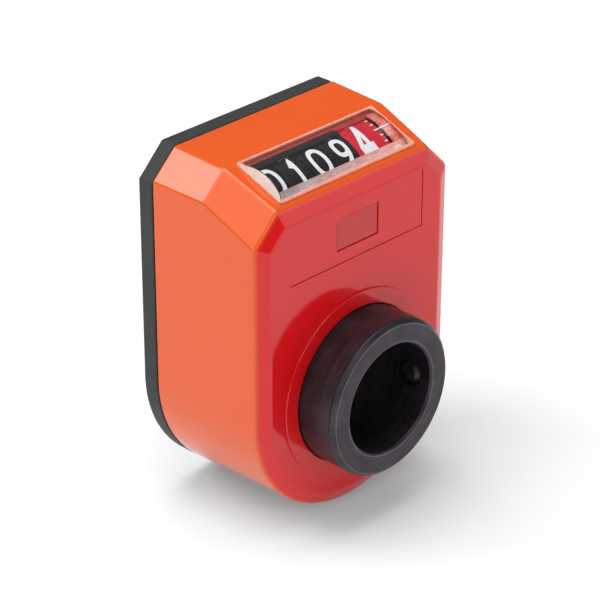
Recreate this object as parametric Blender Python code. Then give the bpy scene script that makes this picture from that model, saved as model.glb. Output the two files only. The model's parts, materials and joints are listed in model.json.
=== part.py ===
"""Hollow-shaft position indicator with a five-wheel roll counter.

The bush axis is Y and the origin is its centre at the rear face. The bush comes out of
the case towards -Y, +X is right as seen from the front, and +Z is up. All the driving
dimensions are in millimetres and are scaled to metres when a mesh is made.
"""
import bpy
import bmesh
from math import cos, sin, pi, radians, atan2, hypot, acos
from mathutils import Matrix, Vector

MM = 0.001
MERGE_DISTANCE = 1e-7
SMOOTH_ANGLE = 30.0

# Case and base
BODY_HALF_WIDTH = 24.0          # also the radius of the round lower end
BODY_TOP = 43.0
BASE_THICKNESS = 3.2
BASE_CHAMFER = 5.4
BASE_REAR_BEVEL = 0.5
PARTING_GAP = 0.1
FRONT_PLANE = -27.6
SLOPE_TOP_Y = -15.0             # where the flat top meets the sloping window face
SLOPE_TOP_Z = 42.6
SLOPE_LOW_Y = -26.4
SLOPE_LOW_Z = 38.45
BOTTOM_ARC_STEPS = 24
# Outlines from the base to the front face: y, half width, top, corner chamfer across and down
CASE_STATIONS = [(-BASE_THICKNESS - PARTING_GAP, 23.95, BODY_TOP, 5.1, 4.9),
                 (SLOPE_TOP_Y, 23.57, SLOPE_TOP_Z, 4.95, 4.6),
                 (SLOPE_LOW_Y, 23.2, SLOPE_LOW_Z, 5.2, 5.25),
                 (FRONT_PLANE, 20.6, 35.59, 3.55, 3.6)]
CAVITY_STATIONS = [(1.0, 21.95, 41.0, 4.4, 4.2),
                   (-14.65, 21.55, 40.6, 4.2, 3.9),
                   (-25.0, 21.2, 36.83, 4.5, 4.5),
                   (-25.6, 20.0, 34.7, 3.6, 3.6)]
# Bosses inside the case for the two bracket screws
SCREW_BOSS_INNER = 12.6
SCREW_BOSS_OUTER = 22.4
SCREW_BOSS_FRONT = -26.4
SCREW_BOSS_REAR = -12.6
SCREW_BOSS_LOW = 15.4

# Bush and bore
BORE_RADIUS = 10.0
BORE_CHAMFER = 0.45
BUSH_RADIUS = 14.4
BUSH_CHAMFER = 0.75
BUSH_FRONT = -36.0
BUSH_REAR = -0.3
BUSH_FIT = 0.1                  # radial clearance of the bush in the case
BUSH_STEPS = 40
RING_STEPS = 32                 # washers, seals and clips round the bush
ROD_STEPS = 16
COLLAR_RADIUS = 16.4
COLLAR_REAR = -9.4
BOSS_RADIUS = 17.44
BOSS_HEIGHT = 0.4
SHOULDER_RADIUS = 16.2
SHOULDER_FRONT = -8.3
SHOULDER_REAR = -7.2
CLIP_GROOVE_LOW = -3.95
CLIP_GROOVE_HIGH = -3.15
CLIP_GROOVE_DEPTH = 0.6
CIRCLIP_RADIUS = 15.4
WASHER_RADIUS = 16.6
WASHER_LOW = -9.1
WASHER_HIGH = -8.5

# Grub screw
GRUB_Y = -31.0
GRUB_ANGLE = -5.0
GRUB_RADIUS = 2.4
GRUB_TIP = 9.85
GRUB_LENGTH = 4.0
GRUB_SOCKET = 1.45
GRUB_SOCKET_DEPTH = 2.0
GRUB_TIP_RADIUS = 1.5

# Drum of number wheels
DRUM_Y = -16.3
DRUM_Z = 31.5
WHEEL_RADIUS = 8.8
WHEEL_PITCH = 5.45
WHEEL_RIM_WIDTH = 4.55
WHEEL_STEPS = 30
CARRIER_STEPS = 28
RED_WHEEL_LEFT = 5.6
RED_WHEEL_RIGHT = 12.9
AXLE_RADIUS = 1.25
AXLE_REACH = 19.3
RUNNING_FIT = 0.05
PRESS_FIT = 0.03
HUB_RADIUS = 2.05
CUP_RADIUS = 7.5
CUP_DEPTH = 1.7
CARRIER_THICKNESS = 0.6
CARRIER_GAP = 0.15
CARRIER_RADIUS = 8.3

# Transfer between wheels
TRANSFER_MODULE = 0.68
RING_TEETH = 20
TRANSFER_TEETH = 6
JOURNAL_RADIUS = 1.4
DRIVER_TIP_RADIUS = 7.38
DRIVER_ANGLE = 100.0            # the pair of driver teeth at rest
DRIVER_SPREAD = 9.0
DRIVER_HALF_ARC = 2.6
PINION_ANGLE = -80.0            # where the transfer pinions sit about the drum axis
PINION_REACH = 1.35             # how far a pinion stands out of its carrier
BAR_DISTANCE = 10.4
BAR_ANGLE = -50.0
BAR_RADIUS = 1.0
BAR_REACH = 19.0
TAB_START = 6.0                 # tabs join the carriers to the locking bar
TAB_HALF_WIDTH = 1.6

# Gear train from the bush to the red wheel
TRAIN_MODULE = 0.75
BUSH_TEETH = 48
IDLER_TEETH = 20
SHAFT_TEETH = 8
TRAIN_FRONT = -6.7
TRAIN_REAR = -4.2
CROWN_MODULE = 0.5
CROWN_TEETH = 24
CROWN_RADIUS = 7.3
CROWN_TOOTH_WIDTH = 2.2
FACE_TEETH = 8
CROSS_X = 17.3
CROSS_SHAFT_RADIUS = 1.0
IDLER_PIN_RADIUS = 1.5
IDLER_PIN_FRONT = -7.6
IDLER_CLIP_RADIUS = 2.6
SHAFT_REAR = -1.5
TOOTH_THINNING = 0.2            # share of a tooth left out for backlash
PINION_THINNING = 0.3
FACE_PINION_FRONT = -11.5
FACE_PINION_REAR = -9.1

# Window
WINDOW_HALF_WIDTH = 16.1
WINDOW_START = 0.1
WINDOW_END = 11.0
WINDOW_DEPTH = 2.6
WINDOW_GAP = 0.15
WINDOW_FOOT = 0.1               # height of the lens's lower edge off the slope
WINDOW_LEFT_LEAN = 0.38         # how far each end leans in for its height
WINDOW_RIGHT_LEAN = 1.0
WINDOW_CLEARANCE = 0.4          # between the wheels and the hollow under the lens
WINDOW_HOLLOW_RIGHT = 15.2
LENS_CENTRE_ALONG = 6.13
LENS_CENTRE_OFF = -7.65
LENS_RADIUS = 9.66
LENS_LOW_ANGLE = 26.0
LENS_HIGH_ANGLE = -36.5
LENS_STEPS = 14

# Moulded marks on the front face
LABEL_HALF_WIDTH = 16.0
LABEL_LOW = 24.35
LABEL_HIGH = 35.05
LABEL_LINE = 0.3
LABEL_DEPTH = 0.25
RECESS_HALF = 5.0
RECESS_LOW = 26.8
RECESS_HIGH = 32.8

# Rear face
PIN_HEIGHT = 30.0
PIN_RADIUS = 3.0
PIN_LENGTH = 6.0
PIN_SUNK = 1.8                  # depth of the pin in the base
PIN_CHAMFER = 0.5
SEAL_INNER = 17.2
SEAL_OUTER = 19.6
SEAL_GROOVE = 1.0
SEAL_PROUD = 0.5

# Rubber seals round the bush
SEAL_FIT = 0.11
FRONT_SEAL_RADIUS = 15.5
FRONT_SEAL_LOW = -24.5
FRONT_SEAL_HIGH = -22.9
REAR_SEAL_RADIUS = 15.7
REAR_SEAL_LOW = -2.3
REAR_SEAL_HIGH = -1.0

# Counter bracket
BRACKET_HALF_WIDTH = 18.2
BRACKET_SHEET = 1.2
BRACKET_FLOOR = 20.0
BRACKET_FRONT = -23.6
BRACKET_REAR = -12.2
# Outline of an ear as (y, z) points above the bracket's floor
EAR_OUTLINE = [(BRACKET_FRONT, BRACKET_FLOOR), (-7.4, BRACKET_FLOOR), (-7.4, 26.4), (-12.3, 28.0), (-12.3, 35.0),
               (-18.6, 36.0), (BRACKET_FRONT, 31.0)]
LUG_FRONT = -8.5
LUG_REAR = -7.4
LUG_TOP = 34.2
LUG_ARM_LOW = 27.0
LUG_ARM_LEFT = 15.4
AXLE_CLIP_RADIUS = 2.4
SCREW_X = 15.0
SCREW_Y = -20.0
SCREW_RADIUS = 0.8
SCREW_HEAD_RADIUS = 1.7
SCREW_HEAD_HEIGHT = 1.1
SCREW_LOW = 16.3


def clear_scene():
    for obj in list(bpy.data.objects):
        bpy.data.objects.remove(obj, do_unlink=True)


def make_material(name, color, roughness, metallic):
    material = bpy.data.materials.new(name)
    material.use_nodes = True
    shader = material.node_tree.nodes["Principled BSDF"]
    shader.inputs["Base Color"].default_value = (*color, 1.0)
    shader.inputs["Roughness"].default_value = roughness
    shader.inputs["Metallic"].default_value = metallic
    return material


def make_object(name, bm, material=None, location=(0.0, 0.0, 0.0), smooth=False):
    """Turn a bmesh drawn in millimetres about its own origin into an object."""
    bmesh.ops.recalc_face_normals(bm, faces=bm.faces)
    bmesh.ops.scale(bm, vec=(MM, MM, MM), verts=bm.verts)
    mesh = bpy.data.meshes.new(name)
    bm.to_mesh(mesh)
    bm.free()
    obj = bpy.data.objects.new(name, mesh)
    obj.location = Vector(location) * MM
    bpy.context.scene.collection.objects.link(obj)
    if material:
        mesh.materials.append(material)
    if smooth:
        mesh.shade_smooth()
        mesh.set_sharp_from_angle(angle=radians(SMOOTH_ANGLE))
    bpy.context.view_layer.update()
    return obj


AXES = {"X": Vector((1.0, 0.0, 0.0)), "Y": Vector((0.0, 1.0, 0.0)), "Z": Vector((0.0, 0.0, 1.0))}


def plane_point(axis, across, up, along):
    """A point given in the plane square to an axis, and its distance along the axis."""
    if axis == "X":
        return Vector((along, across, up))
    if axis == "Y":
        return Vector((across, along, up))
    return Vector((across, up, along))


def turned_mesh(profile, axis, steps):
    """Spin a profile of (radius, along) points about an axis. Its ends may be on the axis."""
    bm = bmesh.new()
    verts = [bm.verts.new(plane_point(axis, radius, 0.0, along)) for radius, along in profile]
    closed = profile[0][0] > 0.0
    pairs = list(zip(verts, verts[1:]))
    if closed:
        pairs.append((verts[-1], verts[0]))
    edges = [bm.edges.new(pair) for pair in pairs]
    bmesh.ops.spin(bm, geom=verts + edges, axis=AXES[axis], angle=2.0 * pi, steps=steps, use_merge=True)
    bmesh.ops.remove_doubles(bm, verts=bm.verts, dist=1e-5)
    return bm


def turned(name, profile, axis, steps, material=None, location=(0.0, 0.0, 0.0)):
    return make_object(name, turned_mesh(profile, axis, steps), material, location, smooth=True)


def rod_profile(radius, low, high, chamfer=0.0):
    if chamfer == 0.0:
        return [(0.0, low), (radius, low), (radius, high), (0.0, high)]
    return [(0.0, low), (radius - chamfer, low), (radius, low + chamfer),
            (radius, high - chamfer), (radius - chamfer, high), (0.0, high)]


def tube_profile(inner, outer, low, high):
    return [(inner, low), (outer, low), (outer, high), (inner, high)]


def prism_mesh(outline, axis, low, high):
    bm = bmesh.new()
    face = bm.faces.new([bm.verts.new(plane_point(axis, across, up, low)) for across, up in outline])
    extruded = bmesh.ops.extrude_face_region(bm, geom=[face])
    moved = [item for item in extruded["geom"] if isinstance(item, bmesh.types.BMVert)]
    bmesh.ops.translate(bm, vec=AXES[axis] * (high - low), verts=moved)
    return bm


def prism(name, outline, axis, low, high, material=None, location=(0.0, 0.0, 0.0)):
    return make_object(name, prism_mesh(outline, axis, low, high), material, location)


def block(name, corner_low, corner_high, material=None):
    (x0, y0, z0), (x1, y1, z1) = corner_low, corner_high
    return prism(name, [(x0, y0), (x1, y0), (x1, y1), (x0, y1)], "Z", z0, z1, material)


def combine(target, tool, operation):
    """Apply a Boolean to the target's mesh and remove the tool."""
    modifier = target.modifiers.new(operation.lower(), "BOOLEAN")
    modifier.operation = operation
    modifier.solver = "EXACT"
    modifier.object = tool
    bpy.context.view_layer.update()
    depsgraph = bpy.context.evaluated_depsgraph_get()
    result = bpy.data.meshes.new_from_object(target.evaluated_get(depsgraph))
    target.modifiers.remove(modifier)
    old_mesh = target.data
    target.data = result
    result.name = target.name
    bpy.data.meshes.remove(old_mesh)
    bpy.data.objects.remove(tool, do_unlink=True)
    bm = bmesh.new()
    bm.from_mesh(result)
    bmesh.ops.remove_doubles(bm, verts=bm.verts, dist=MERGE_DISTANCE)
    bmesh.ops.dissolve_degenerate(bm, edges=bm.edges, dist=MERGE_DISTANCE)
    bm.to_mesh(result)
    bm.free()
    bpy.context.view_layer.update()


def cut(target, tool):
    combine(target, tool, "DIFFERENCE")


def fuse(target, tool):
    combine(target, tool, "UNION")


def drill(target, radius, axis, low, high, location, steps=ROD_STEPS):
    cut(target, turned("drill", rod_profile(radius, low, high), axis, steps, location=location))


def finish_round(obj):
    obj.data.shade_smooth()
    obj.data.set_sharp_from_angle(angle=radians(SMOOTH_ANGLE))


def gear_outline(teeth, module, thinning, addendum=0.85, dedendum=1.1, phase=0.0, internal=False):
    """Outline with straight flanks. The thinning is the share of a tooth left out for backlash."""
    pitch_radius = teeth * module / 2.0
    tip = pitch_radius + addendum * module
    root = pitch_radius - dedendum * module
    if internal:
        tip = pitch_radius + dedendum * module
        root = pitch_radius - addendum * module
    half_pitch = pi / teeth
    half_tooth = half_pitch / 2.0 * (1.0 - thinning)
    if internal:
        half_tooth = half_pitch / 2.0 * (1.0 + thinning)
    spread_root = 1.32
    spread_tip = 0.52
    outline = []
    for tooth in range(teeth):
        centre = phase + 2.0 * pi * tooth / teeth
        steps = [(-spread_root * half_tooth, root), (-spread_tip * half_tooth, tip),
                 (spread_tip * half_tooth, tip), (spread_root * half_tooth, root)]
        for turn, radius in steps:
            outline.append((radius * cos(centre + turn), radius * sin(centre + turn)))
    return outline


def gear(name, teeth, module, thinning, axis, low, high, bore, material, location, phase=0.0, bore_steps=ROD_STEPS):
    outline = gear_outline(teeth, module, thinning, phase=phase)
    wheel = prism(name, outline, axis, low, high, material, location)
    drill(wheel, bore, axis, low - 1.0, high + 1.0, location, bore_steps)
    return wheel


def body_outline(half_width, top, chamfer_x, chamfer_z, radius):
    """Flat top with chamfered corners, straight sides and a round lower end."""
    points = [(-half_width + chamfer_x, top), (-half_width, top - chamfer_z)]
    for step in range(BOTTOM_ARC_STEPS + 1):
        angle = pi + pi * step / BOTTOM_ARC_STEPS
        points.append((radius * cos(angle), radius * sin(angle)))
    points += [(half_width, top - chamfer_z), (half_width - chamfer_x, top)]
    return points


def lofted_body(name, stations, material=None):
    """Bridge body outlines given as (y, half width, top, chamfer x, chamfer z)."""
    bm = bmesh.new()
    loops = []
    for y, half_width, top, chamfer_x, chamfer_z in stations:
        outline = body_outline(half_width, top, chamfer_x, chamfer_z, half_width)
        verts = [bm.verts.new((x, y, z)) for x, z in outline]
        edges = [bm.edges.new((verts[i - 1], verts[i])) for i in range(len(verts))]
        loops.append((verts, edges))
    for (_, edges_a), (_, edges_b) in zip(loops, loops[1:]):
        bmesh.ops.bridge_loops(bm, edges=edges_a + edges_b)
    bm.faces.new(loops[0][0])
    bm.faces.new(loops[-1][0])
    return make_object(name, bm, material)


def slope_frame():
    """Origin on the top edge of the slope, with directions down the slope and out of it."""
    down = Vector((0.0, SLOPE_LOW_Y - SLOPE_TOP_Y, SLOPE_LOW_Z - SLOPE_TOP_Z)).normalized()
    outward = Vector((0.0, down.z, -down.y))
    if outward.z < 0.0:
        outward.negate()
    return Vector((0.0, SLOPE_TOP_Y, SLOPE_TOP_Z)), down, outward


def slope_block(name, half_width, start, end, low, high, material=None):
    """Box square to the sloping face, from start to end down it and from low to high off it."""
    origin, down, outward = slope_frame()
    corners = [(start, low), (end, low), (end, high), (start, high)]
    points = [origin + down * along + outward * off for along, off in corners]
    return prism(name, [(point.y, point.z) for point in points], "X", -half_width, half_width, material)


def make_case(material):
    case = lofted_body("case", CASE_STATIONS, material)
    cut(case, lofted_body("cavity", CAVITY_STATIONS))
    for side in (-1.0, 1.0):
        low_x, high_x = sorted((side * SCREW_BOSS_INNER, side * SCREW_BOSS_OUTER))
        fuse(case, block("screw_boss", (low_x, SCREW_BOSS_FRONT, SCREW_BOSS_LOW),
                         (high_x, SCREW_BOSS_REAR, BRACKET_FLOOR - 0.3)))
        drill(case, SCREW_RADIUS + 0.1, "Z", SCREW_BOSS_LOW + 0.5, BRACKET_FLOOR + 1.0,
              (side * SCREW_X, SCREW_Y, 0.0))
    collar = rod_profile(COLLAR_RADIUS, FRONT_PLANE + 0.8, COLLAR_REAR)
    fuse(case, turned("collar", collar, "Y", BUSH_STEPS))
    boss = rod_profile(BOSS_RADIUS, FRONT_PLANE - BOSS_HEIGHT, FRONT_PLANE + 0.6)
    fuse(case, turned("boss", boss, "Y", BUSH_STEPS))
    bush_hole = BUSH_RADIUS + BUSH_FIT
    groove = FRONT_SEAL_RADIUS + 0.1
    opening = [(0.0, FRONT_PLANE - 1.0), (bush_hole, FRONT_PLANE - 1.0), (bush_hole, FRONT_SEAL_LOW - 0.1),
               (groove, FRONT_SEAL_LOW - 0.1), (groove, FRONT_SEAL_HIGH + 0.1), (bush_hole, FRONT_SEAL_HIGH + 0.1),
               (bush_hole, COLLAR_REAR + 1.0), (0.0, COLLAR_REAR + 1.0)]
    cut(case, turned("bush_hole", opening, "Y", BUSH_STEPS))
    cut(case, slope_block("window_hole", WINDOW_HALF_WIDTH + WINDOW_GAP, WINDOW_START - WINDOW_GAP,
                          WINDOW_END + WINDOW_GAP, -WINDOW_DEPTH - 1.4, 1.0))
    cut_front_marks(case)
    finish_round(case)
    return case


def cut_front_marks(case):
    """Engraved outline of the label field, and a plain square recess inside it."""
    groove = block("groove", (-LABEL_HALF_WIDTH, FRONT_PLANE - 1.0, LABEL_LOW),
                   (LABEL_HALF_WIDTH, FRONT_PLANE + LABEL_DEPTH, LABEL_HIGH))
    keep = block("keep", (-LABEL_HALF_WIDTH + LABEL_LINE, FRONT_PLANE - 2.0, LABEL_LOW + LABEL_LINE),
                 (LABEL_HALF_WIDTH - LABEL_LINE, FRONT_PLANE + 1.0, LABEL_HIGH - LABEL_LINE))
    cut(groove, keep)
    cut(case, groove)
    cut(case, block("recess", (-RECESS_HALF, FRONT_PLANE - 1.0, RECESS_LOW),
                    (RECESS_HALF, FRONT_PLANE + LABEL_DEPTH, RECESS_HIGH)))


def window_outline():
    """Section of the lens: distance down the slope and height off it."""
    outline = [(WINDOW_START, -WINDOW_DEPTH), (WINDOW_END, -WINDOW_DEPTH), (WINDOW_END, WINDOW_FOOT)]
    for step in range(LENS_STEPS + 1):
        angle = radians(LENS_LOW_ANGLE + (LENS_HIGH_ANGLE - LENS_LOW_ANGLE) * step / LENS_STEPS)
        outline.append((LENS_CENTRE_ALONG + LENS_RADIUS * sin(angle), LENS_CENTRE_OFF + LENS_RADIUS * cos(angle)))
    return outline + [(WINDOW_START, 0.0)]


def make_window(material):
    """Domed lens over the wheels, with ends that lean in, and a round hollow under it."""
    origin, down, outward = slope_frame()
    bm = bmesh.new()
    loops = []
    for side, lean in ((-1.0, WINDOW_LEFT_LEAN), (1.0, WINDOW_RIGHT_LEAN)):
        verts = []
        for along, off in window_outline():
            point = origin + down * along + outward * off
            point.x = side * (WINDOW_HALF_WIDTH - lean * max(off, 0.0))
            verts.append(bm.verts.new(point))
        loops.append(verts)
    edges = [bm.edges.new((verts[i - 1], verts[i])) for verts in loops for i in range(len(verts))]
    bmesh.ops.bridge_loops(bm, edges=edges)
    for verts in loops:
        bm.faces.new(verts)
    window = make_object("window", bm, material)
    hollow = rod_profile(WHEEL_RADIUS + WINDOW_CLEARANCE, -WINDOW_HALF_WIDTH - 1.0, WINDOW_HOLLOW_RIGHT)
    cut(window, turned("hollow", hollow, "X", 96, location=(0.0, DRUM_Y, DRUM_Z)))
    return window


def idler_centre():
    """Where a circle about the bush meets a circle about the cross shaft."""
    to_bush = (BUSH_TEETH + IDLER_TEETH) * TRAIN_MODULE / 2.0
    to_shaft = (SHAFT_TEETH + IDLER_TEETH) * TRAIN_MODULE / 2.0
    span = hypot(CROSS_X, DRUM_Z)
    turn = acos((to_bush ** 2 + span ** 2 - to_shaft ** 2) / (2.0 * to_bush * span))
    direction = atan2(DRUM_Z, CROSS_X) - turn
    return to_bush * cos(direction), to_bush * sin(direction)


def make_base(material):
    rear = BODY_HALF_WIDTH - BASE_REAR_BEVEL
    base = lofted_body("rear_base", [
        (0.0, rear, BODY_TOP - BASE_REAR_BEVEL, BASE_CHAMFER, BASE_CHAMFER),
        (-BASE_REAR_BEVEL, BODY_HALF_WIDTH, BODY_TOP, BASE_CHAMFER, BASE_CHAMFER),
        (-BASE_THICKNESS, BODY_HALF_WIDTH, BODY_TOP, BASE_CHAMFER, BASE_CHAMFER)], material)
    hole = BUSH_RADIUS + BUSH_FIT
    groove = REAR_SEAL_RADIUS + 0.1
    opening = [(0.0, -4.0), (hole, -4.0), (hole, REAR_SEAL_LOW - 0.1), (groove, REAR_SEAL_LOW - 0.1),
               (groove, REAR_SEAL_HIGH + 0.1), (hole, REAR_SEAL_HIGH + 0.1), (hole, 1.0), (0.0, 1.0)]
    cut(base, turned("base_hole", opening, "Y", BUSH_STEPS))
    cut(base, turned("seal_groove", tube_profile(SEAL_INNER - 0.1, SEAL_OUTER + 0.1, -SEAL_GROOVE, 1.0), "Y",
                     BUSH_STEPS))
    drill(base, PIN_RADIUS + RUNNING_FIT, "Y", -PIN_SUNK - 0.1, 1.0, (0.0, 0.0, PIN_HEIGHT), 32)
    idler_x, idler_z = idler_centre()
    drill(base, IDLER_PIN_RADIUS + RUNNING_FIT, "Y", -4.0, SHAFT_REAR + 0.2, (idler_x, 0.0, idler_z))
    drill(base, CROSS_SHAFT_RADIUS + RUNNING_FIT, "Y", -4.0, SHAFT_REAR + 0.2, (CROSS_X, 0.0, DRUM_Z))
    finish_round(base)
    return base


def make_rear_pieces(foam, rubber, plastic):
    turned("foam_seal", tube_profile(SEAL_INNER, SEAL_OUTER, -SEAL_GROOVE + 0.1, SEAL_PROUD), "Y", RING_STEPS, foam)
    turned("torque_pin", rod_profile(PIN_RADIUS, -PIN_SUNK, PIN_LENGTH, PIN_CHAMFER), "Y", 32, plastic,
           location=(0.0, 0.0, PIN_HEIGHT))
    inner = BUSH_RADIUS + SEAL_FIT
    turned("front_bush_seal", tube_profile(inner, FRONT_SEAL_RADIUS, FRONT_SEAL_LOW, FRONT_SEAL_HIGH), "Y",
           RING_STEPS, rubber)
    turned("rear_bush_seal", tube_profile(inner, REAR_SEAL_RADIUS, REAR_SEAL_LOW, REAR_SEAL_HIGH), "Y", RING_STEPS,
           rubber)


def make_bush(steel):
    chamfer = BUSH_CHAMFER
    profile = [(BORE_RADIUS + BORE_CHAMFER, BUSH_FRONT), (BUSH_RADIUS - chamfer, BUSH_FRONT),
               (BUSH_RADIUS, BUSH_FRONT + chamfer), (BUSH_RADIUS, SHOULDER_FRONT), (SHOULDER_RADIUS, SHOULDER_FRONT),
               (SHOULDER_RADIUS, SHOULDER_REAR), (BUSH_RADIUS, SHOULDER_REAR),
               (BUSH_RADIUS, CLIP_GROOVE_LOW), (BUSH_RADIUS - CLIP_GROOVE_DEPTH, CLIP_GROOVE_LOW),
               (BUSH_RADIUS - CLIP_GROOVE_DEPTH, CLIP_GROOVE_HIGH), (BUSH_RADIUS, CLIP_GROOVE_HIGH),
               (BUSH_RADIUS, BUSH_REAR - 0.3), (BUSH_RADIUS - 0.3, BUSH_REAR),
               (BORE_RADIUS + BORE_CHAMFER, BUSH_REAR), (BORE_RADIUS, BUSH_REAR - BORE_CHAMFER),
               (BORE_RADIUS, BUSH_FRONT + BORE_CHAMFER)]
    bush = turned("bush", profile, "Y", BUSH_STEPS, steel)
    tapped_hole = grub_oriented("tapped_hole", rod_profile(GRUB_RADIUS + 0.1, BORE_RADIUS - 2.0, BUSH_RADIUS + 1.6))
    cut(bush, tapped_hole)
    finish_round(bush)
    return bush


def grub_oriented(name, profile, material=None, steps=ROD_STEPS):
    """A piece turned about the grub screw's axis, which points out of the bore."""
    bm = turned_mesh(profile, "X", steps)
    turn = Matrix.Rotation(-radians(GRUB_ANGLE), 4, "Y")
    bmesh.ops.transform(bm, matrix=turn, verts=bm.verts)
    return make_object(name, bm, material, (0.0, GRUB_Y, 0.0), smooth=True)


def make_grub_screw(steel):
    outer_end = GRUB_TIP + GRUB_LENGTH
    profile = [(0.0, GRUB_TIP), (GRUB_TIP_RADIUS, GRUB_TIP), (GRUB_RADIUS, GRUB_TIP + 0.6),
               (GRUB_RADIUS, outer_end - 0.3), (GRUB_RADIUS - 0.3, outer_end), (0.0, outer_end)]
    screw = grub_oriented("grub_screw", profile, steel)
    socket = grub_oriented("socket", rod_profile(GRUB_SOCKET, outer_end - GRUB_SOCKET_DEPTH, outer_end + 1.0), steps=6)
    cut(screw, socket)
    return screw


def gear_phase(teeth, direction):
    """Turn a gear so that a tooth points in the given direction."""
    pitch = 2.0 * pi / teeth
    return direction % pitch


def make_train(brass, steel, plastic):
    idler_x, idler_z = idler_centre()
    bush_phase = 0.0
    gear("bush_gear", BUSH_TEETH, TRAIN_MODULE, TOOTH_THINNING, "Y", TRAIN_FRONT, TRAIN_REAR,
         BUSH_RADIUS + RUNNING_FIT, plastic, (0.0, 0.0, 0.0), bush_phase, BUSH_STEPS)
    to_idler = atan2(idler_z, idler_x)
    idler_phase = meshed_phase(BUSH_TEETH, bush_phase, IDLER_TEETH, to_idler)
    gear("idler_gear", IDLER_TEETH, TRAIN_MODULE, TOOTH_THINNING, "Y", TRAIN_FRONT, TRAIN_REAR,
         IDLER_PIN_RADIUS + RUNNING_FIT, brass, (idler_x, 0.0, idler_z), idler_phase)
    turned("idler_pin", rod_profile(IDLER_PIN_RADIUS, IDLER_PIN_FRONT, SHAFT_REAR + 0.1, 0.2), "Y", ROD_STEPS, steel,
           (idler_x, 0.0, idler_z))
    turned("idler_clip", tube_profile(IDLER_PIN_RADIUS + RUNNING_FIT, IDLER_CLIP_RADIUS, IDLER_PIN_FRONT + 0.2,
                                      IDLER_PIN_FRONT + 0.65), "Y", ROD_STEPS, steel,
           (idler_x, 0.0, idler_z))
    to_shaft = atan2(DRUM_Z - idler_z, CROSS_X - idler_x)
    shaft_phase = meshed_phase(IDLER_TEETH, idler_phase, SHAFT_TEETH, to_shaft)
    shaft_place = (CROSS_X, 0.0, DRUM_Z)
    gear("shaft_gear", SHAFT_TEETH, TRAIN_MODULE, TOOTH_THINNING, "Y", TRAIN_FRONT, TRAIN_REAR,
         CROSS_SHAFT_RADIUS + PRESS_FIT, brass, shaft_place, shaft_phase)
    turned("cross_shaft", rod_profile(CROSS_SHAFT_RADIUS, FACE_PINION_FRONT - 0.4, SHAFT_REAR, 0.15), "Y",
           ROD_STEPS, steel, shaft_place)
    gear("face_pinion", FACE_TEETH, CROWN_MODULE, PINION_THINNING, "Y", FACE_PINION_FRONT, FACE_PINION_REAR,
         CROSS_SHAFT_RADIUS + PRESS_FIT, brass, shaft_place, gear_phase(FACE_TEETH, pi))
    turned("thrust_washer", tube_profile(BUSH_RADIUS + 0.15, WASHER_RADIUS, WASHER_LOW, WASHER_HIGH), "Y",
           RING_STEPS, steel)
    turned("bush_circlip", tube_profile(BUSH_RADIUS - CLIP_GROOVE_DEPTH + 0.1, CIRCLIP_RADIUS,
                                        CLIP_GROOVE_LOW + 0.1, CLIP_GROOVE_HIGH - 0.15), "Y", RING_STEPS, steel)


def meshed_phase(driver_teeth, driver_phase, driven_teeth, direction):
    """Phase that puts a gap of the driven gear over a tooth of the driver, on the line of centres."""
    driver_offset = (direction - driver_phase) % (2.0 * pi / driver_teeth)
    driven_offset = driver_offset * driver_teeth / driven_teeth
    gap = direction + pi - pi / driven_teeth + driven_offset
    return gap % (2.0 * pi / driven_teeth)


def wheel_span(place):
    """Left and right edge of a black wheel's rim. Place 1 is next to the red wheel."""
    right = RED_WHEEL_LEFT - WHEEL_PITCH * (place - 1) - CARRIER_THICKNESS - 2.0 * CARRIER_GAP
    return right - WHEEL_RIM_WIDTH, right


def wheel_profile(left, right):
    """Rim, web and hub, open to the left in a cup and solid on the right."""
    bore = AXLE_RADIUS + RUNNING_FIT
    return [(bore, left), (HUB_RADIUS, left), (HUB_RADIUS, left + CUP_DEPTH), (CUP_RADIUS, left + CUP_DEPTH),
            (CUP_RADIUS, left), (WHEEL_RADIUS, left), (WHEEL_RADIUS, right), (bore, right)]


def cut_right_cup(wheel, outline, depth, right):
    """Hollow the right side to an outline, leaving the hub standing."""
    place_on_axle = (0.0, DRUM_Y, DRUM_Z)
    space = prism("cup_space", outline, "X", right - depth, right + 1.0, location=place_on_axle)
    drill(space, HUB_RADIUS, "X", right - depth - 1.0, right + 2.0, place_on_axle)
    cut(wheel, space)


def add_driver_teeth(wheel, left):
    """Two short teeth inside the left cup, which carry the next wheel on once a turn."""
    for turn in (-1.0, 1.0):
        angle = radians(DRIVER_ANGLE + turn * DRIVER_SPREAD)
        arc = radians(DRIVER_HALF_ARC)
        outline = [(radius * cos(angle + step), radius * sin(angle + step))
                   for radius, step in ((DRIVER_TIP_RADIUS, -arc), (CUP_RADIUS + 0.4, -arc),
                                        (CUP_RADIUS + 0.4, arc), (DRIVER_TIP_RADIUS, arc))]
        fuse(wheel, prism("driver_tooth", outline, "X", left + 0.2, left + CUP_DEPTH + 0.3,
                          location=(0.0, DRUM_Y, DRUM_Z)))


def ring_cutter_outline(phase):
    return gear_outline(RING_TEETH, TRANSFER_MODULE, 0.25, addendum=0.62, dedendum=0.8, phase=phase, internal=True)


def pinion_centre():
    distance = (RING_TEETH - TRANSFER_TEETH) * TRANSFER_MODULE / 2.0
    angle = radians(PINION_ANGLE)
    return distance * cos(angle), distance * sin(angle)


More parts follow.
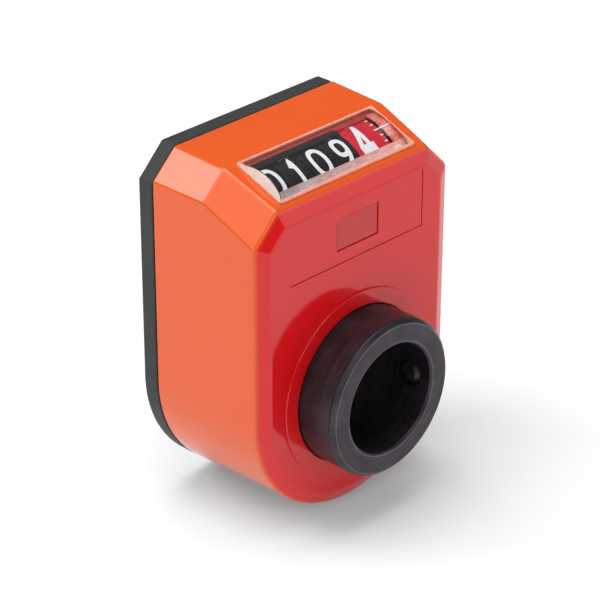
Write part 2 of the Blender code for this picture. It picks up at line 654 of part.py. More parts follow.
def make_wheels(black, red, brass):
    names = ["wheel_tens", "wheel_hundreds", "wheel_thousands", "wheel_ten_thousands"]
    place_on_axle = (0.0, DRUM_Y, DRUM_Z)
    phase = gear_phase(RING_TEETH, radians(PINION_ANGLE))
    for place, name in enumerate(names, start=1):
        left, right = wheel_span(place)
        wheel = turned(name, wheel_profile(left, right), "X", WHEEL_STEPS, black, place_on_axle)
        cut_right_cup(wheel, ring_cutter_outline(phase), CUP_DEPTH, right)
        if place < len(names):
            add_driver_teeth(wheel, left)
        finish_round(wheel)
    red_wheel = turned("wheel_units", wheel_profile(RED_WHEEL_LEFT, RED_WHEEL_RIGHT), "X", WHEEL_STEPS, red,
                       place_on_axle)
    add_driver_teeth(red_wheel, RED_WHEEL_LEFT)
    finish_round(red_wheel)
    make_crown_gear(brass)


def make_crown_gear(brass):
    """Ring with teeth on its right face, which the face pinion drives."""
    mean_radius = CROWN_TEETH * CROWN_MODULE / 2.0
    pitch_x = CROSS_X - FACE_TEETH * CROWN_MODULE / 2.0
    root_x = pitch_x - 0.62
    tip_x = pitch_x + 0.3
    crown = turned("crown_gear", tube_profile(HUB_RADIUS + 0.1, CROWN_RADIUS, RED_WHEEL_RIGHT + 0.1, root_x), "X",
                   CROWN_TEETH, brass,
                   (0.0, DRUM_Y, DRUM_Z))
    half_pitch = pi * CROWN_MODULE / 2.0
    half_root = half_pitch * 0.5
    half_tip = half_pitch * 0.2
    for tooth in range(CROWN_TEETH):
        angle = 2.0 * pi * (tooth + 0.5) / CROWN_TEETH
        outline = [(-half_root, root_x - 0.3), (half_root, root_x - 0.3), (half_root, root_x),
                   (half_tip, tip_x), (-half_tip, tip_x), (-half_root, root_x)]
        bm = bmesh.new()
        inner = mean_radius - CROWN_TOOTH_WIDTH / 2.0
        face = bm.faces.new([bm.verts.new((along, inner, across)) for across, along in outline])
        extruded = bmesh.ops.extrude_face_region(bm, geom=[face])
        moved = [item for item in extruded["geom"] if isinstance(item, bmesh.types.BMVert)]
        bmesh.ops.translate(bm, vec=(0.0, CROWN_TOOTH_WIDTH, 0.0), verts=moved)
        bmesh.ops.rotate(bm, matrix=Matrix.Rotation(angle, 3, "X"), verts=bm.verts)
        fuse(crown, make_object("crown_tooth", bm, location=(0.0, DRUM_Y, DRUM_Z)))


def make_transfer(white, grey, steel):
    across, up = pinion_centre()
    centre = (0.0, DRUM_Y + across, DRUM_Z + up)
    bar_across = BAR_DISTANCE * cos(radians(BAR_ANGLE))
    bar_up = BAR_DISTANCE * sin(radians(BAR_ANGLE))
    pinion_phase = radians(PINION_ANGLE)
    for place in range(1, 5):
        right_edge = RED_WHEEL_LEFT - WHEEL_PITCH * (place - 1) - CARRIER_GAP
        left_edge = right_edge - CARRIER_THICKNESS
        carrier = turned("carrier_%d" % place, rod_profile(CARRIER_RADIUS, left_edge, right_edge), "X",
                         CARRIER_STEPS, grey,
                         (0.0, DRUM_Y, DRUM_Z))
        reach = BAR_DISTANCE + BAR_RADIUS + 0.5
        tab = [(TAB_START, -TAB_HALF_WIDTH), (reach, -TAB_HALF_WIDTH), (reach, TAB_HALF_WIDTH),
               (TAB_START, TAB_HALF_WIDTH)]
        turn = radians(BAR_ANGLE)
        outline = [(x * cos(turn) - y * sin(turn), x * sin(turn) + y * cos(turn)) for x, y in tab]
        fuse(carrier, prism("tab", outline, "X", left_edge, right_edge, location=(0.0, DRUM_Y, DRUM_Z)))
        for radius, spot in ((AXLE_RADIUS + RUNNING_FIT, (0.0, DRUM_Y, DRUM_Z)),
                             (BAR_RADIUS + RUNNING_FIT, (0.0, DRUM_Y + bar_across, DRUM_Z + bar_up)),
                             (JOURNAL_RADIUS + RUNNING_FIT, centre)):
            drill(carrier, radius, "X", left_edge - 1.0, right_edge + 1.0, spot)
        make_transfer_pinion("transfer_pinion_%d" % place, left_edge, right_edge, pinion_phase, white, centre)
    turned("locking_bar", rod_profile(BAR_RADIUS, -BAR_REACH, BAR_REACH, 0.2), "X", ROD_STEPS, steel,
           (0.0, DRUM_Y + bar_across, DRUM_Z + bar_up))


def make_transfer_pinion(name, carrier_left, carrier_right, phase, material, centre):
    """Journal in the carrier with a row of teeth on each side of it."""
    outline = gear_outline(TRANSFER_TEETH, TRANSFER_MODULE, 0.25, addendum=0.6, dedendum=0.75,
                           phase=phase % (2.0 * pi / TRANSFER_TEETH))
    reach = PINION_REACH
    pinion = turned(name, rod_profile(JOURNAL_RADIUS, carrier_left - reach, carrier_right + reach - 0.2), "X", 12,
                    material, centre)
    for low, high in ((carrier_left - reach + 0.1, carrier_left - 0.1), (carrier_right + 0.1,
                                                                        carrier_right + reach - 0.3)):
        fuse(pinion, prism("teeth", outline, "X", low, high, location=centre))
    return pinion


def make_counter_frame(steel, zinc):
    turned("drum_axle", rod_profile(AXLE_RADIUS, -AXLE_REACH, AXLE_REACH, 0.2), "X", ROD_STEPS, steel,
           (0.0, DRUM_Y, DRUM_Z))
    clip = tube_profile(AXLE_RADIUS + 0.04, AXLE_CLIP_RADIUS, BRACKET_HALF_WIDTH + 0.2, BRACKET_HALF_WIDTH + 0.7)
    turned("axle_clip_right", clip, "X", ROD_STEPS, steel, (0.0, DRUM_Y, DRUM_Z))
    left_clip = [(radius, -along) for radius, along in clip]
    turned("axle_clip_left", left_clip, "X", ROD_STEPS, steel, (0.0, DRUM_Y, DRUM_Z))
    make_bracket(zinc)
    for side, word in ((-1.0, "left"), (1.0, "right")):
        head_low = BRACKET_FLOOR + BRACKET_SHEET + 0.1
        head_high = head_low + SCREW_HEAD_HEIGHT
        profile = [(0.0, SCREW_LOW), (SCREW_RADIUS, SCREW_LOW), (SCREW_RADIUS, head_low),
                   (SCREW_HEAD_RADIUS, head_low), (SCREW_HEAD_RADIUS, head_high), (0.0, head_high)]
        turned("bracket_screw_" + word, profile, "Z", 20, steel, (side * SCREW_X, SCREW_Y, 0.0))


def make_bracket(zinc):
    """U-shaped bracket with an ear at each end of the drum and a lug for the cross shaft."""
    half = BRACKET_HALF_WIDTH
    bracket = block("counter_bracket", (-half, BRACKET_FRONT, BRACKET_FLOOR),
                    (half, BRACKET_REAR, BRACKET_FLOOR + BRACKET_SHEET), zinc)
    for low, high in ((-half, -half + BRACKET_SHEET), (half - BRACKET_SHEET, half)):
        fuse(bracket, prism("ear", EAR_OUTLINE, "X", low, high))
    lug = block("lug", (half - BRACKET_SHEET, LUG_FRONT, BRACKET_FLOOR), (half + BRACKET_SHEET, LUG_REAR, LUG_TOP))
    fuse(bracket, lug)
    lug_arm = block("lug_arm", (LUG_ARM_LEFT, LUG_FRONT, LUG_ARM_LOW), (half, LUG_REAR, LUG_TOP))
    fuse(bracket, lug_arm)
    bar_across = BAR_DISTANCE * cos(radians(BAR_ANGLE))
    bar_up = BAR_DISTANCE * sin(radians(BAR_ANGLE))
    drill(bracket, AXLE_RADIUS + PRESS_FIT, "X", -21.0, 21.0, (0.0, DRUM_Y, DRUM_Z))
    drill(bracket, BAR_RADIUS + PRESS_FIT, "X", -21.0, 21.0, (0.0, DRUM_Y + bar_across, DRUM_Z + bar_up))
    drill(bracket, CROSS_SHAFT_RADIUS + RUNNING_FIT, "Y", -9.0, -7.0, (CROSS_X, 0.0, DRUM_Z))
    for side in (-1.0, 1.0):
        drill(bracket, 1.0, "Z", 19.0, 22.0, (side * SCREW_X, SCREW_Y, 0.0), 16)


def main():
    clear_scene()
    orange = make_material("orange_plastic", (0.80, 0.09, 0.03), 0.22, 0.0)
    dark = make_material("dark_plastic", (0.045, 0.048, 0.05), 0.5, 0.0)
    clear = make_material("clear_plastic", (0.9, 0.9, 0.9), 0.05, 0.0)
    black_steel = make_material("black_steel", (0.05, 0.045, 0.045), 0.38, 0.9)
    bright_steel = make_material("bright_steel", (0.6, 0.6, 0.6), 0.3, 1.0)
    zinc = make_material("zinc_sheet", (0.5, 0.5, 0.52), 0.4, 1.0)
    brass = make_material("brass", (0.7, 0.5, 0.2), 0.35, 1.0)
    black = make_material("wheel_black", (0.02, 0.018, 0.018), 0.45, 0.0)
    red = make_material("wheel_red", (0.7, 0.01, 0.03), 0.4, 0.0)
    white = make_material("white_plastic", (0.8, 0.8, 0.78), 0.5, 0.0)
    grey = make_material("carrier_plastic", (0.06, 0.06, 0.06), 0.5, 0.0)
    rubber = make_material("seal_rubber", (0.02, 0.02, 0.02), 0.7, 0.0)
    foam = make_material("seal_foam", (0.08, 0.08, 0.08), 0.95, 0.0)

    make_case(orange)
    make_window(clear)
    make_base(dark)
    make_rear_pieces(foam, rubber, dark)
    make_bush(black_steel)
    make_grub_screw(black_steel)
    make_train(brass, bright_steel, white)
    make_wheels(black, red, brass)
    make_transfer(white, grey, bright_steel)
    make_counter_frame(bright_steel, zinc)


main()
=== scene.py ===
import json
import math
import bpy
import bmesh
from mathutils import Matrix, Vector


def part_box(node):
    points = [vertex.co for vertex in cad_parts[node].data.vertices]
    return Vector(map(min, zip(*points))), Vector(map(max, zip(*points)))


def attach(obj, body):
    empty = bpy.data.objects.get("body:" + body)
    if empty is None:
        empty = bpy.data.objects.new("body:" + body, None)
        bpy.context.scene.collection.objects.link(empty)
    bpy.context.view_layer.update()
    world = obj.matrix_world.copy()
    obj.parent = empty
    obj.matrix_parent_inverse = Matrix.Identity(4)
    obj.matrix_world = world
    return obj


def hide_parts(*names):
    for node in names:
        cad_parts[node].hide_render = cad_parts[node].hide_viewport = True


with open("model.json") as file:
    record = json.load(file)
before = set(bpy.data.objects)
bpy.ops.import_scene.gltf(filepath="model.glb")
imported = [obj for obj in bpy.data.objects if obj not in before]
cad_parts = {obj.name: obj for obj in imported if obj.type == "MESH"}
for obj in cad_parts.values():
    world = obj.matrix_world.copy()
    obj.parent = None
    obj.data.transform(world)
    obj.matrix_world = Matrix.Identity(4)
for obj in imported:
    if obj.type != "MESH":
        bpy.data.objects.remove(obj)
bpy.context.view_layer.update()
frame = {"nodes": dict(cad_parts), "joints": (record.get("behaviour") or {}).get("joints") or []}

mm = 0.001
mergeDistance = 1e-8    # metres, for vertices that meet
sliverSize = 2e-7       # metres, lengths below this count as nothing
axisVector = {"X": Vector((1, 0, 0)), "Y": Vector((0, 1, 0))}
startVector = {"X": Vector((0, 0, 1)), "Y": Vector((1, 0, 0))}    # side on which a spun profile starts

# the drum turns about the red wheel's joint
joints = {joint["name"]: joint for joint in frame["joints"]}
drumCentre = Vector(joints["units_wheel_spin"]["pos_m"])


def spinForm(profile, axis, steps, centre=(0, 0, 0)):
    # turn a profile of (radius, along) points in mm about an axis, open ends may lie on the axis
    bm = bmesh.new()
    side, forward = startVector[axis], axisVector[axis]
    centre = Vector(centre)
    verts = [bm.verts.new(centre + (side * radius + forward * along) * mm) for radius, along in profile]
    pairs = list(zip(verts, verts[1:]))
    if profile[0][0] > 0:
        pairs.append((verts[-1], verts[0]))
    edges = [bm.edges.new(pair) for pair in pairs]
    bmesh.ops.spin(bm, geom=verts + edges, cent=centre, axis=forward, angle=2 * math.pi, steps=steps,
                   use_merge=True)
    bmesh.ops.remove_doubles(bm, verts=bm.verts, dist=mergeDistance)
    bmesh.ops.recalc_face_normals(bm, faces=bm.faces)
    return bm


def boxForm(low, high):
    # box between two corners, in metres
    low, high = Vector(low), Vector(high)
    bm = bmesh.new()
    size = high - low
    place = Matrix.Translation((low + high) / 2) @ Matrix.Diagonal((size.x, size.y, size.z, 1))
    bmesh.ops.create_cube(bm, size=1, matrix=place)
    return bm


def bevelSharp(bm, width, segments=3, minAngle=8):
    # round every edge that turns by more than an angle in degrees
    limit = math.radians(minAngle)
    edges = [e for e in bm.edges if len(e.link_faces) == 2 and e.calc_face_angle() > limit]
    bmesh.ops.bevel(bm, geom=edges, offset=width * mm, segments=segments, profile=0.5, affect="EDGES",
                    clamp_overlap=True, material=-1)


def looseObject(name, bm):
    mesh = bpy.data.meshes.new(name)
    bm.to_mesh(mesh)
    bm.free()
    obj = bpy.data.objects.new(name, mesh)
    bpy.context.scene.collection.objects.link(obj)
    return obj


def carve(obj, bm, operation="DIFFERENCE"):
    # cut a form out of a piece, or join it on
    tool = looseObject("tool", bm)
    modifier = obj.modifiers.new("carve", "BOOLEAN")
    modifier.operation = operation
    modifier.solver = "EXACT"
    modifier.object = tool
    bpy.context.view_layer.update()
    carved = bpy.data.meshes.new_from_object(obj.evaluated_get(bpy.context.evaluated_depsgraph_get()))
    obj.modifiers.remove(modifier)
    cleaned = bmesh.new()
    cleaned.from_mesh(carved)
    bmesh.ops.dissolve_degenerate(cleaned, dist=sliverSize, edges=cleaned.edges)   # slivers left by the cut
    cleaned.to_mesh(carved)
    cleaned.free()
    oldMesh = obj.data
    obj.data = carved
    bpy.data.meshes.remove(oldMesh)
    bpy.data.objects.remove(tool)
    bpy.context.view_layer.update()


def finishPiece(obj, material, body, stands=(), smoothAngle=40):
    # give a piece its material, its shading, the body that it rides on and the CAD nodes it stands for
    obj.data.materials.clear()
    obj.data.materials.append(material)
    obj.data.shade_smooth()
    obj.data.set_sharp_from_angle(angle=math.radians(smoothAngle))
    weighted = obj.modifiers.new("faceNormals", "WEIGHTED_NORMAL")
    weighted.keep_sharp = True
    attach(obj, body)
    if stands:
        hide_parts(*stands)


def makePiece(name, bm, material, body, stands=(), smoothAngle=40):
    finishPiece(looseObject(name, bm), material, body, stands, smoothAngle)


# shader groups that several materials share
def newGroup(name, inputs, outputs):
    group = bpy.data.node_groups.new(name, "ShaderNodeTree")
    for socketName, value in inputs:
        socket = group.interface.new_socket(name=socketName, in_out="INPUT", socket_type="NodeSocketFloat")
        socket.default_value = value
    for socketName in outputs:
        group.interface.new_socket(name=socketName, in_out="OUTPUT", socket_type="NodeSocketFloat")
    return group, group.nodes.new("NodeGroupInput"), group.nodes.new("NodeGroupOutput")


def addMath(tree, operation, first, second=None):
    node = tree.nodes.new("ShaderNodeMath")
    node.operation = operation
    for index, value in enumerate((first, second)):
        if value is None:
            continue
        if isinstance(value, (int, float)):
            node.inputs[index].default_value = value
        else:
            tree.links.new(value, node.inputs[index])
    return node.outputs[0]


def addNoise(tree, vector, scale, detail, roughness):
    node = tree.nodes.new("ShaderNodeTexNoise")
    tree.links.new(vector, node.inputs["Vector"])
    for socketName, value in (("Scale", scale), ("Detail", detail), ("Roughness", roughness)):
        if isinstance(value, (int, float)):
            node.inputs[socketName].default_value = value
        else:
            tree.links.new(value, node.inputs[socketName])
    return node.outputs["Fac"]


def mouldGrainGroup():
    # fine grain of moulded plastic, with a slow drift in gloss, sizes in mm
    group, source, result = newGroup("mouldGrain", [("Grain Size", 0.15), ("Drift Size", 6.0)],
                                     ["Height", "Drift"])
    place = group.nodes.new("ShaderNodeTexCoord").outputs["Object"]
    grainScale = addMath(group, "DIVIDE", 1000.0, source.outputs["Grain Size"])
    driftScale = addMath(group, "DIVIDE", 1000.0, source.outputs["Drift Size"])
    group.links.new(addNoise(group, place, grainScale, 2.0, 0.6), result.inputs["Height"])
    group.links.new(addNoise(group, place, driftScale, 3.0, 0.5), result.inputs["Drift"])
    return group


def turningGroup():
    # marks left by the lathe: rings on a face and hoops on a cylinder, both about the Y axis
    tone = {"cloudScale": 220.0, "cloud": 0.3, "speckScale": 4200.0, "specks": 0.3, "marks": 0.4,
            "rubbedAndHighlight": 0.3}
    group, source, result = newGroup("turningMarks", [
        ("Ring Spacing", 0.12), ("Break Up", 0.4), ("Inner Edge", 0.0), ("Outer Edge", 0.0),
        ("Edge Width", 0.14)], ["Height", "Tone", "Rubbed Edge And Highlight"])
    place = group.nodes.new("ShaderNodeTexCoord").outputs["Object"]
    split = group.nodes.new("ShaderNodeSeparateXYZ")
    group.links.new(place, split.inputs[0])
    across = addMath(group, "MULTIPLY", split.outputs["X"], split.outputs["X"])
    up = addMath(group, "MULTIPLY", split.outputs["Z"], split.outputs["Z"])
    radius = addMath(group, "SQRT", addMath(group, "ADD", across, up))
    turn = addMath(group, "ARCTAN2", split.outputs["Z"], split.outputs["X"])
    perMetre = addMath(group, "DIVIDE", 1000.0, source.outputs["Ring Spacing"])
    rings = group.nodes.new("ShaderNodeCombineXYZ")
    group.links.new(addMath(group, "MULTIPLY", radius, perMetre), rings.inputs["X"])
    group.links.new(addMath(group, "MULTIPLY", split.outputs["Y"], perMetre), rings.inputs["Y"])
    group.links.new(addMath(group, "MULTIPLY", turn, source.outputs["Break Up"]), rings.inputs["Z"])
    marks = addNoise(group, rings.outputs[0], 1.0, 2.0, 0.6)
    group.links.new(marks, result.inputs["Height"])
    cloud = addNoise(group, place, tone["cloudScale"], 3.0, 0.6)
    specks = addNoise(group, place, tone["speckScale"], 2.0, 0.6)
    slow = addMath(group, "ADD", addMath(group, "MULTIPLY", cloud, tone["cloud"]),
                   addMath(group, "MULTIPLY", specks, tone["specks"]))
    mixed = addMath(group, "ADD", addMath(group, "MULTIPLY", marks, tone["marks"]), slow)
    group.links.new(mixed, result.inputs["Tone"])
    # lighter bands at two radii: partly rubbed wear, partly a painted highlight on the chamfer edges
    radiusMm = addMath(group, "MULTIPLY", radius, 1000.0)
    bands = []
    for name in ("Inner Edge", "Outer Edge"):
        away = addMath(group, "ABSOLUTE", addMath(group, "SUBTRACT", radiusMm, source.outputs[name]))
        share = addMath(group, "DIVIDE", away, source.outputs["Edge Width"])
        bands.append(addMath(group, "SUBTRACT", 1.0, share))
    band = addMath(group, "MAXIMUM", addMath(group, "MAXIMUM", *bands), 0.0)
    wornAndLit = addMath(group, "MULTIPLY", band, addMath(group, "ADD", cloud, tone["rubbedAndHighlight"]))
    group.links.new(wornAndLit, result.inputs["Rubbed Edge And Highlight"])
    return group


mouldGrain = mouldGrainGroup()
turningMarks = turningGroup()
print("shader groups made")


def newMaterial(name, **sockets):
    material = bpy.data.materials.new(name)
    material.use_nodes = True
    shader = material.node_tree.nodes["Principled BSDF"]
    for socketName, value in sockets.items():
        socket = shader.inputs[socketName.replace("_", " ")]
        socket.default_value = (*value, 1.0) if isinstance(value, tuple) else value
    return material, material.node_tree, shader


def useGroup(tree, group, **values):
    node = tree.nodes.new("ShaderNodeGroup")
    node.node_tree = group
    for socketName, value in values.items():
        node.inputs[socketName.replace("_", " ")].default_value = value
    return node


def addBump(tree, shader, height, strength, depth):
    bump = tree.nodes.new("ShaderNodeBump")
    bump.inputs["Strength"].default_value = strength
    bump.inputs["Distance"].default_value = depth * mm
    tree.links.new(height, bump.inputs["Height"])
    tree.links.new(bump.outputs["Normal"], shader.inputs["Normal"])


def addRange(tree, value, low, high, fromLow=0.3, fromHigh=0.7):
    node = tree.nodes.new("ShaderNodeMapRange")
    node.inputs["From Min"].default_value = fromLow
    node.inputs["From Max"].default_value = fromHigh
    node.inputs["To Min"].default_value = low
    node.inputs["To Max"].default_value = high
    tree.links.new(value, node.inputs["Value"])
    return node.outputs["Result"]


def addMix(tree, factor, first, second):
    node = tree.nodes.new("ShaderNodeMix")
    node.data_type = "RGBA"
    factorSocket, firstSocket, secondSocket = node.inputs[0], node.inputs[6], node.inputs[7]
    for socket, value in ((factorSocket, factor), (firstSocket, first), (secondSocket, second)):
        if isinstance(value, tuple):
            socket.default_value = (*value, 1.0)
        else:
            tree.links.new(value, socket)
    return node.outputs[2]


def casePlastic():
    # glossy moulded plastic of one colour, with painted light and shade: orange on the lit sides, and a
    # deeper red of painted shade from the front bevels onwards
    look = {"front": (0.72, 0.006, 0.009), "sides": (0.78, 0.103, 0.012), "flow": (0.62, 0.03, 0.004),
            "flowAmount": 0.10, "bounced": (0.22, 0.18, 0.17), "roughness": (0.07, 0.12),
            "shadeStart": -26.35, "shadeFull": -26.75, "grainSize": 0.35, "driftSize": 9.0,
            "bump": (0.05, 0.02)}
    material, tree, shader = newMaterial("casePlastic", Roughness=0.1)
    place = tree.nodes.new("ShaderNodeSeparateXYZ")
    tree.links.new(tree.nodes.new("ShaderNodeTexCoord").outputs["Object"], place.inputs[0])
    # painted shade mask, 1 on the front and 0 on the lit sides
    toShadedFront = addRange(tree, place.outputs["Y"], 1.0, 0.0, look["shadeFull"] * mm, look["shadeStart"] * mm)
    grain = useGroup(tree, mouldGrain, Grain_Size=look["grainSize"], Drift_Size=look["driftSize"])
    # the front colour is painted shade and the side colour is painted light
    colour = addMix(tree, toShadedFront, look["sides"], look["front"])
    flow = addRange(tree, grain.outputs["Drift"], 0.0, look["flowAmount"])
    shade = addMix(tree, flow, colour, addMix(tree, toShadedFront, look["flow"], look["front"]))
    bounced = tree.nodes.new("ShaderNodeLightPath").outputs["Is Diffuse Ray"]
    shade = addMix(tree, bounced, shade, look["bounced"])   # little colour is thrown on the floor
    tree.links.new(shade, shader.inputs["Base Color"])
    tree.links.new(addRange(tree, grain.outputs["Drift"], *look["roughness"]), shader.inputs["Roughness"])
    addBump(tree, shader, grain.outputs["Height"], *look["bump"])
    return material


def grainedPlastic(name, colour, lift, roughness, grainSize=0.16, strength=0.35, depth=0.03, specular=0.5):
    # satin plastic between two colours, with a grain size and bump depth in mm
    spread = {"drift": 5.0, "smoother": 0.05, "rougher": 0.06}
    material, tree, shader = newMaterial(name, Roughness=roughness, Specular_IOR_Level=specular)
    grain = useGroup(tree, mouldGrain, Grain_Size=grainSize, Drift_Size=spread["drift"])
    shade = addMix(tree, addRange(tree, grain.outputs["Height"], 0.0, 1.0), colour, lift)
    tree.links.new(shade, shader.inputs["Base Color"])
    low, high = roughness - spread["smoother"], roughness + spread["rougher"]
    tree.links.new(addRange(tree, grain.outputs["Drift"], low, high), shader.inputs["Roughness"])
    addBump(tree, shader, grain.outputs["Height"], strength, depth)
    return material


def ledgePlastic():
    # clear moulding over the case: greyer at the left, pinker at the right, with soft streaks along it
    look = {"left": (0.46, 0.38, 0.39), "right": (0.95, 0.46, 0.40), "streak": (0.92, 0.72, 0.69),
            "leftAt": -0.012, "rightAt": 0.014, "streakScale": (350.0, 700.0, 700.0), "streakAmount": 0.45,
            "streakFrom": 0.42, "streakTo": 0.80, "roughness": (0.16, 0.34), "bump": (0.15, 0.05)}
    material, tree, shader = newMaterial("ledgePlastic", Roughness=0.22)
    place = tree.nodes.new("ShaderNodeTexCoord").outputs["Object"]
    split = tree.nodes.new("ShaderNodeSeparateXYZ")
    tree.links.new(place, split.inputs[0])
    stretched = tree.nodes.new("ShaderNodeMapping")
    stretched.inputs["Scale"].default_value = look["streakScale"]
    tree.links.new(place, stretched.inputs["Vector"])
    streaks = addNoise(tree, stretched.outputs[0], 1.0, 3.0, 0.55)
    along = addRange(tree, split.outputs["X"], 0.0, 1.0, look["leftAt"], look["rightAt"])
    base = addMix(tree, along, look["left"], look["right"])
    amount = addRange(tree, streaks, 0.0, look["streakAmount"], look["streakFrom"], look["streakTo"])
    tree.links.new(addMix(tree, amount, base, look["streak"]), shader.inputs["Base Color"])
    tree.links.new(addRange(tree, streaks, *look["roughness"]), shader.inputs["Roughness"])
    addBump(tree, shader, streaks, *look["bump"])
    return material


def turnedMetal(name, dark, light, roughness, metallic, spacing=0.12, strength=0.3, depth=0.01, rubbedAndHighlight=None,
                edges=(0.0, 0.0)):
    # metal with lathe marks, and a lighter colour at two radii in mm that is partly rubbed wear and partly
    # painted highlight
    spread = {"breakUp": 0.6, "smoother": 0.06, "rougher": 0.08, "toneFrom": 0.35, "toneTo": 0.65}
    material, tree, shader = newMaterial(name, Metallic=metallic, Roughness=roughness)
    marks = useGroup(tree, turningMarks, Ring_Spacing=spacing, Break_Up=spread["breakUp"],
                     Inner_Edge=edges[0], Outer_Edge=edges[1])
    tone = addRange(tree, marks.outputs["Tone"], 0.0, 1.0, spread["toneFrom"], spread["toneTo"])
    colour = addMix(tree, tone, dark, light)
    if rubbedAndHighlight:
        # lighter chamfer edges: rubbed wear and painted highlight
        colour = addMix(tree, marks.outputs["Rubbed Edge And Highlight"], colour, rubbedAndHighlight)
    tree.links.new(colour, shader.inputs["Base Color"])
    low, high = roughness - spread["smoother"], roughness + spread["rougher"]
    tree.links.new(addRange(tree, marks.outputs["Tone"], low, high), shader.inputs["Roughness"])
    addBump(tree, shader, marks.outputs["Height"], strength, depth)
    return material


def clearPlastic():
    # clear moulding that lets light through to what it covers
    look = {"roughness": 0.02, "refraction": 1.49, "through": (0.95, 0.95, 0.95, 1.0), "grainSize": 1.2,
            "driftSize": 7.0, "bump": (0.04, 0.02)}
    material, tree, shader = newMaterial("clearPlastic", Base_Color=(1.0, 1.0, 1.0),
                                         Roughness=look["roughness"], Transmission_Weight=1.0,
                                         IOR=look["refraction"])
    path = tree.nodes.new("ShaderNodeLightPath")
    through = tree.nodes.new("ShaderNodeBsdfTransparent")
    through.inputs["Color"].default_value = look["through"]
    mix = tree.nodes.new("ShaderNodeMixShader")
    lit = addMath(tree, "MAXIMUM", path.outputs["Is Shadow Ray"], path.outputs["Is Diffuse Ray"])
    tree.links.new(lit, mix.inputs[0])
    tree.links.new(shader.outputs[0], mix.inputs[1])
    tree.links.new(through.outputs[0], mix.inputs[2])
    tree.links.new(mix.outputs[0], tree.nodes["Material Output"].inputs["Surface"])
    grain = useGroup(tree, mouldGrain, Grain_Size=look["grainSize"], Drift_Size=look["driftSize"])
    addBump(tree, shader, grain.outputs["Height"], *look["bump"])
    return material


orange = casePlastic()
baseDark = grainedPlastic("basePlastic", (0.026, 0.028, 0.028), (0.056, 0.060, 0.060), 0.56, specular=0.2)
pinDark = grainedPlastic("pinPlastic", (0.03, 0.03, 0.032), (0.05, 0.05, 0.052), 0.42, 0.3, 0.2)
wheelBlack = grainedPlastic("wheelBlack", (0.004, 0.003, 0.003), (0.013, 0.008, 0.008), 0.34, 0.25, 0.12,
                            specular=0.2)
wheelRed = grainedPlastic("wheelRed", (0.60, 0.004, 0.022), (0.68, 0.006, 0.03), 0.30, 0.25, 0.12)
figureWhite = grainedPlastic("figureWhite", (0.84, 0.88, 0.93), (0.90, 0.93, 0.97), 0.45, 0.2, 0.1)
recessRed = grainedPlastic("recessPlastic", (0.52, 0.012, 0.014), (0.64, 0.02, 0.02), 0.34, 0.5, 0.2)
seatRed = grainedPlastic("seatPlastic", (0.42, 0.03, 0.02), (0.62, 0.08, 0.05), 0.3, 0.9, 0.15)
seatPale = grainedPlastic("seatPalePlastic", (0.66, 0.10, 0.08), (0.82, 0.30, 0.24), 0.25, 1.2, 0.2)
rimPlastic = grainedPlastic("rimPlastic", (0.86, 0.28, 0.19), (0.92, 0.42, 0.33), 0.14, 0.8, 0.15)
frosted = grainedPlastic("frostedPlastic", (0.74, 0.56, 0.49), (0.84, 0.68, 0.61), 0.35, 0.9, 0.15, 0.02)
ledge = ledgePlastic()
whitePlastic = grainedPlastic("gearPlastic", (0.72, 0.71, 0.66), (0.80, 0.79, 0.75), 0.45)
rubber = grainedPlastic("sealRubber", (0.015, 0.015, 0.016), (0.03, 0.03, 0.03), 0.6, 0.2)
foam = grainedPlastic("sealFoam", (0.02, 0.02, 0.021), (0.075, 0.075, 0.078), 0.9, 0.45, 1.0, 0.25)
# the bush's chamfer edges at 10.52 and 13.68 mm get a lighter colour, partly rubbed wear and partly painted
# highlight
blackSteel = turnedMetal("blackSteel", (0.020, 0.014, 0.016), (0.074, 0.066, 0.080), 0.36, 0.75, 0.18, 0.55,
                         0.02, (0.15, 0.15, 0.17), (10.52, 13.68))
brightSteel = turnedMetal("brightSteel", (0.50, 0.50, 0.50), (0.66, 0.66, 0.66), 0.3, 1.0)
brass = turnedMetal("gearBrass", (0.55, 0.38, 0.13), (0.72, 0.52, 0.22), 0.35, 1.0)
zincSheet = grainedPlastic("zincSheet", (0.42, 0.42, 0.44), (0.55, 0.55, 0.57), 0.4, 1.5, 0.1)
clear = clearPlastic()
print("materials made")


# each station: place along Y, half width, top, then the corner's width and height, in mm
bodyForm = {"stations": [(-3.3, 23.95, 43.0, 5.1, 4.9), (-15.0, 23.57, 42.6, 4.95, 4.6),
                         (-26.4, 23.2, 38.45, 5.2, 5.25), (-27.6, 20.6, 35.59, 3.55, 3.6)],
            "cavity": [(1.0, 21.95, 41.0, 4.4, 4.2), (-14.65, 21.55, 40.6, 4.2, 3.9),
                       (-25.0, 21.2, 36.83, 4.5, 4.5), (-25.6, 20.0, 34.7, 3.6, 3.6)],
            "arcSteps": 72, "cavitySteps": 48, "edgeRadius": 0.38, "edgeSegments": 4}
slopeTop = Vector((0, -15.0, 42.6)) * mm
slopeLow = Vector((0, -26.4, 38.45)) * mm
downSlope = (slopeLow - slopeTop).normalized()
outOfSlope = Vector((0, downSlope.z, -downSlope.y))
frontY = bodyForm["stations"][-1][0]


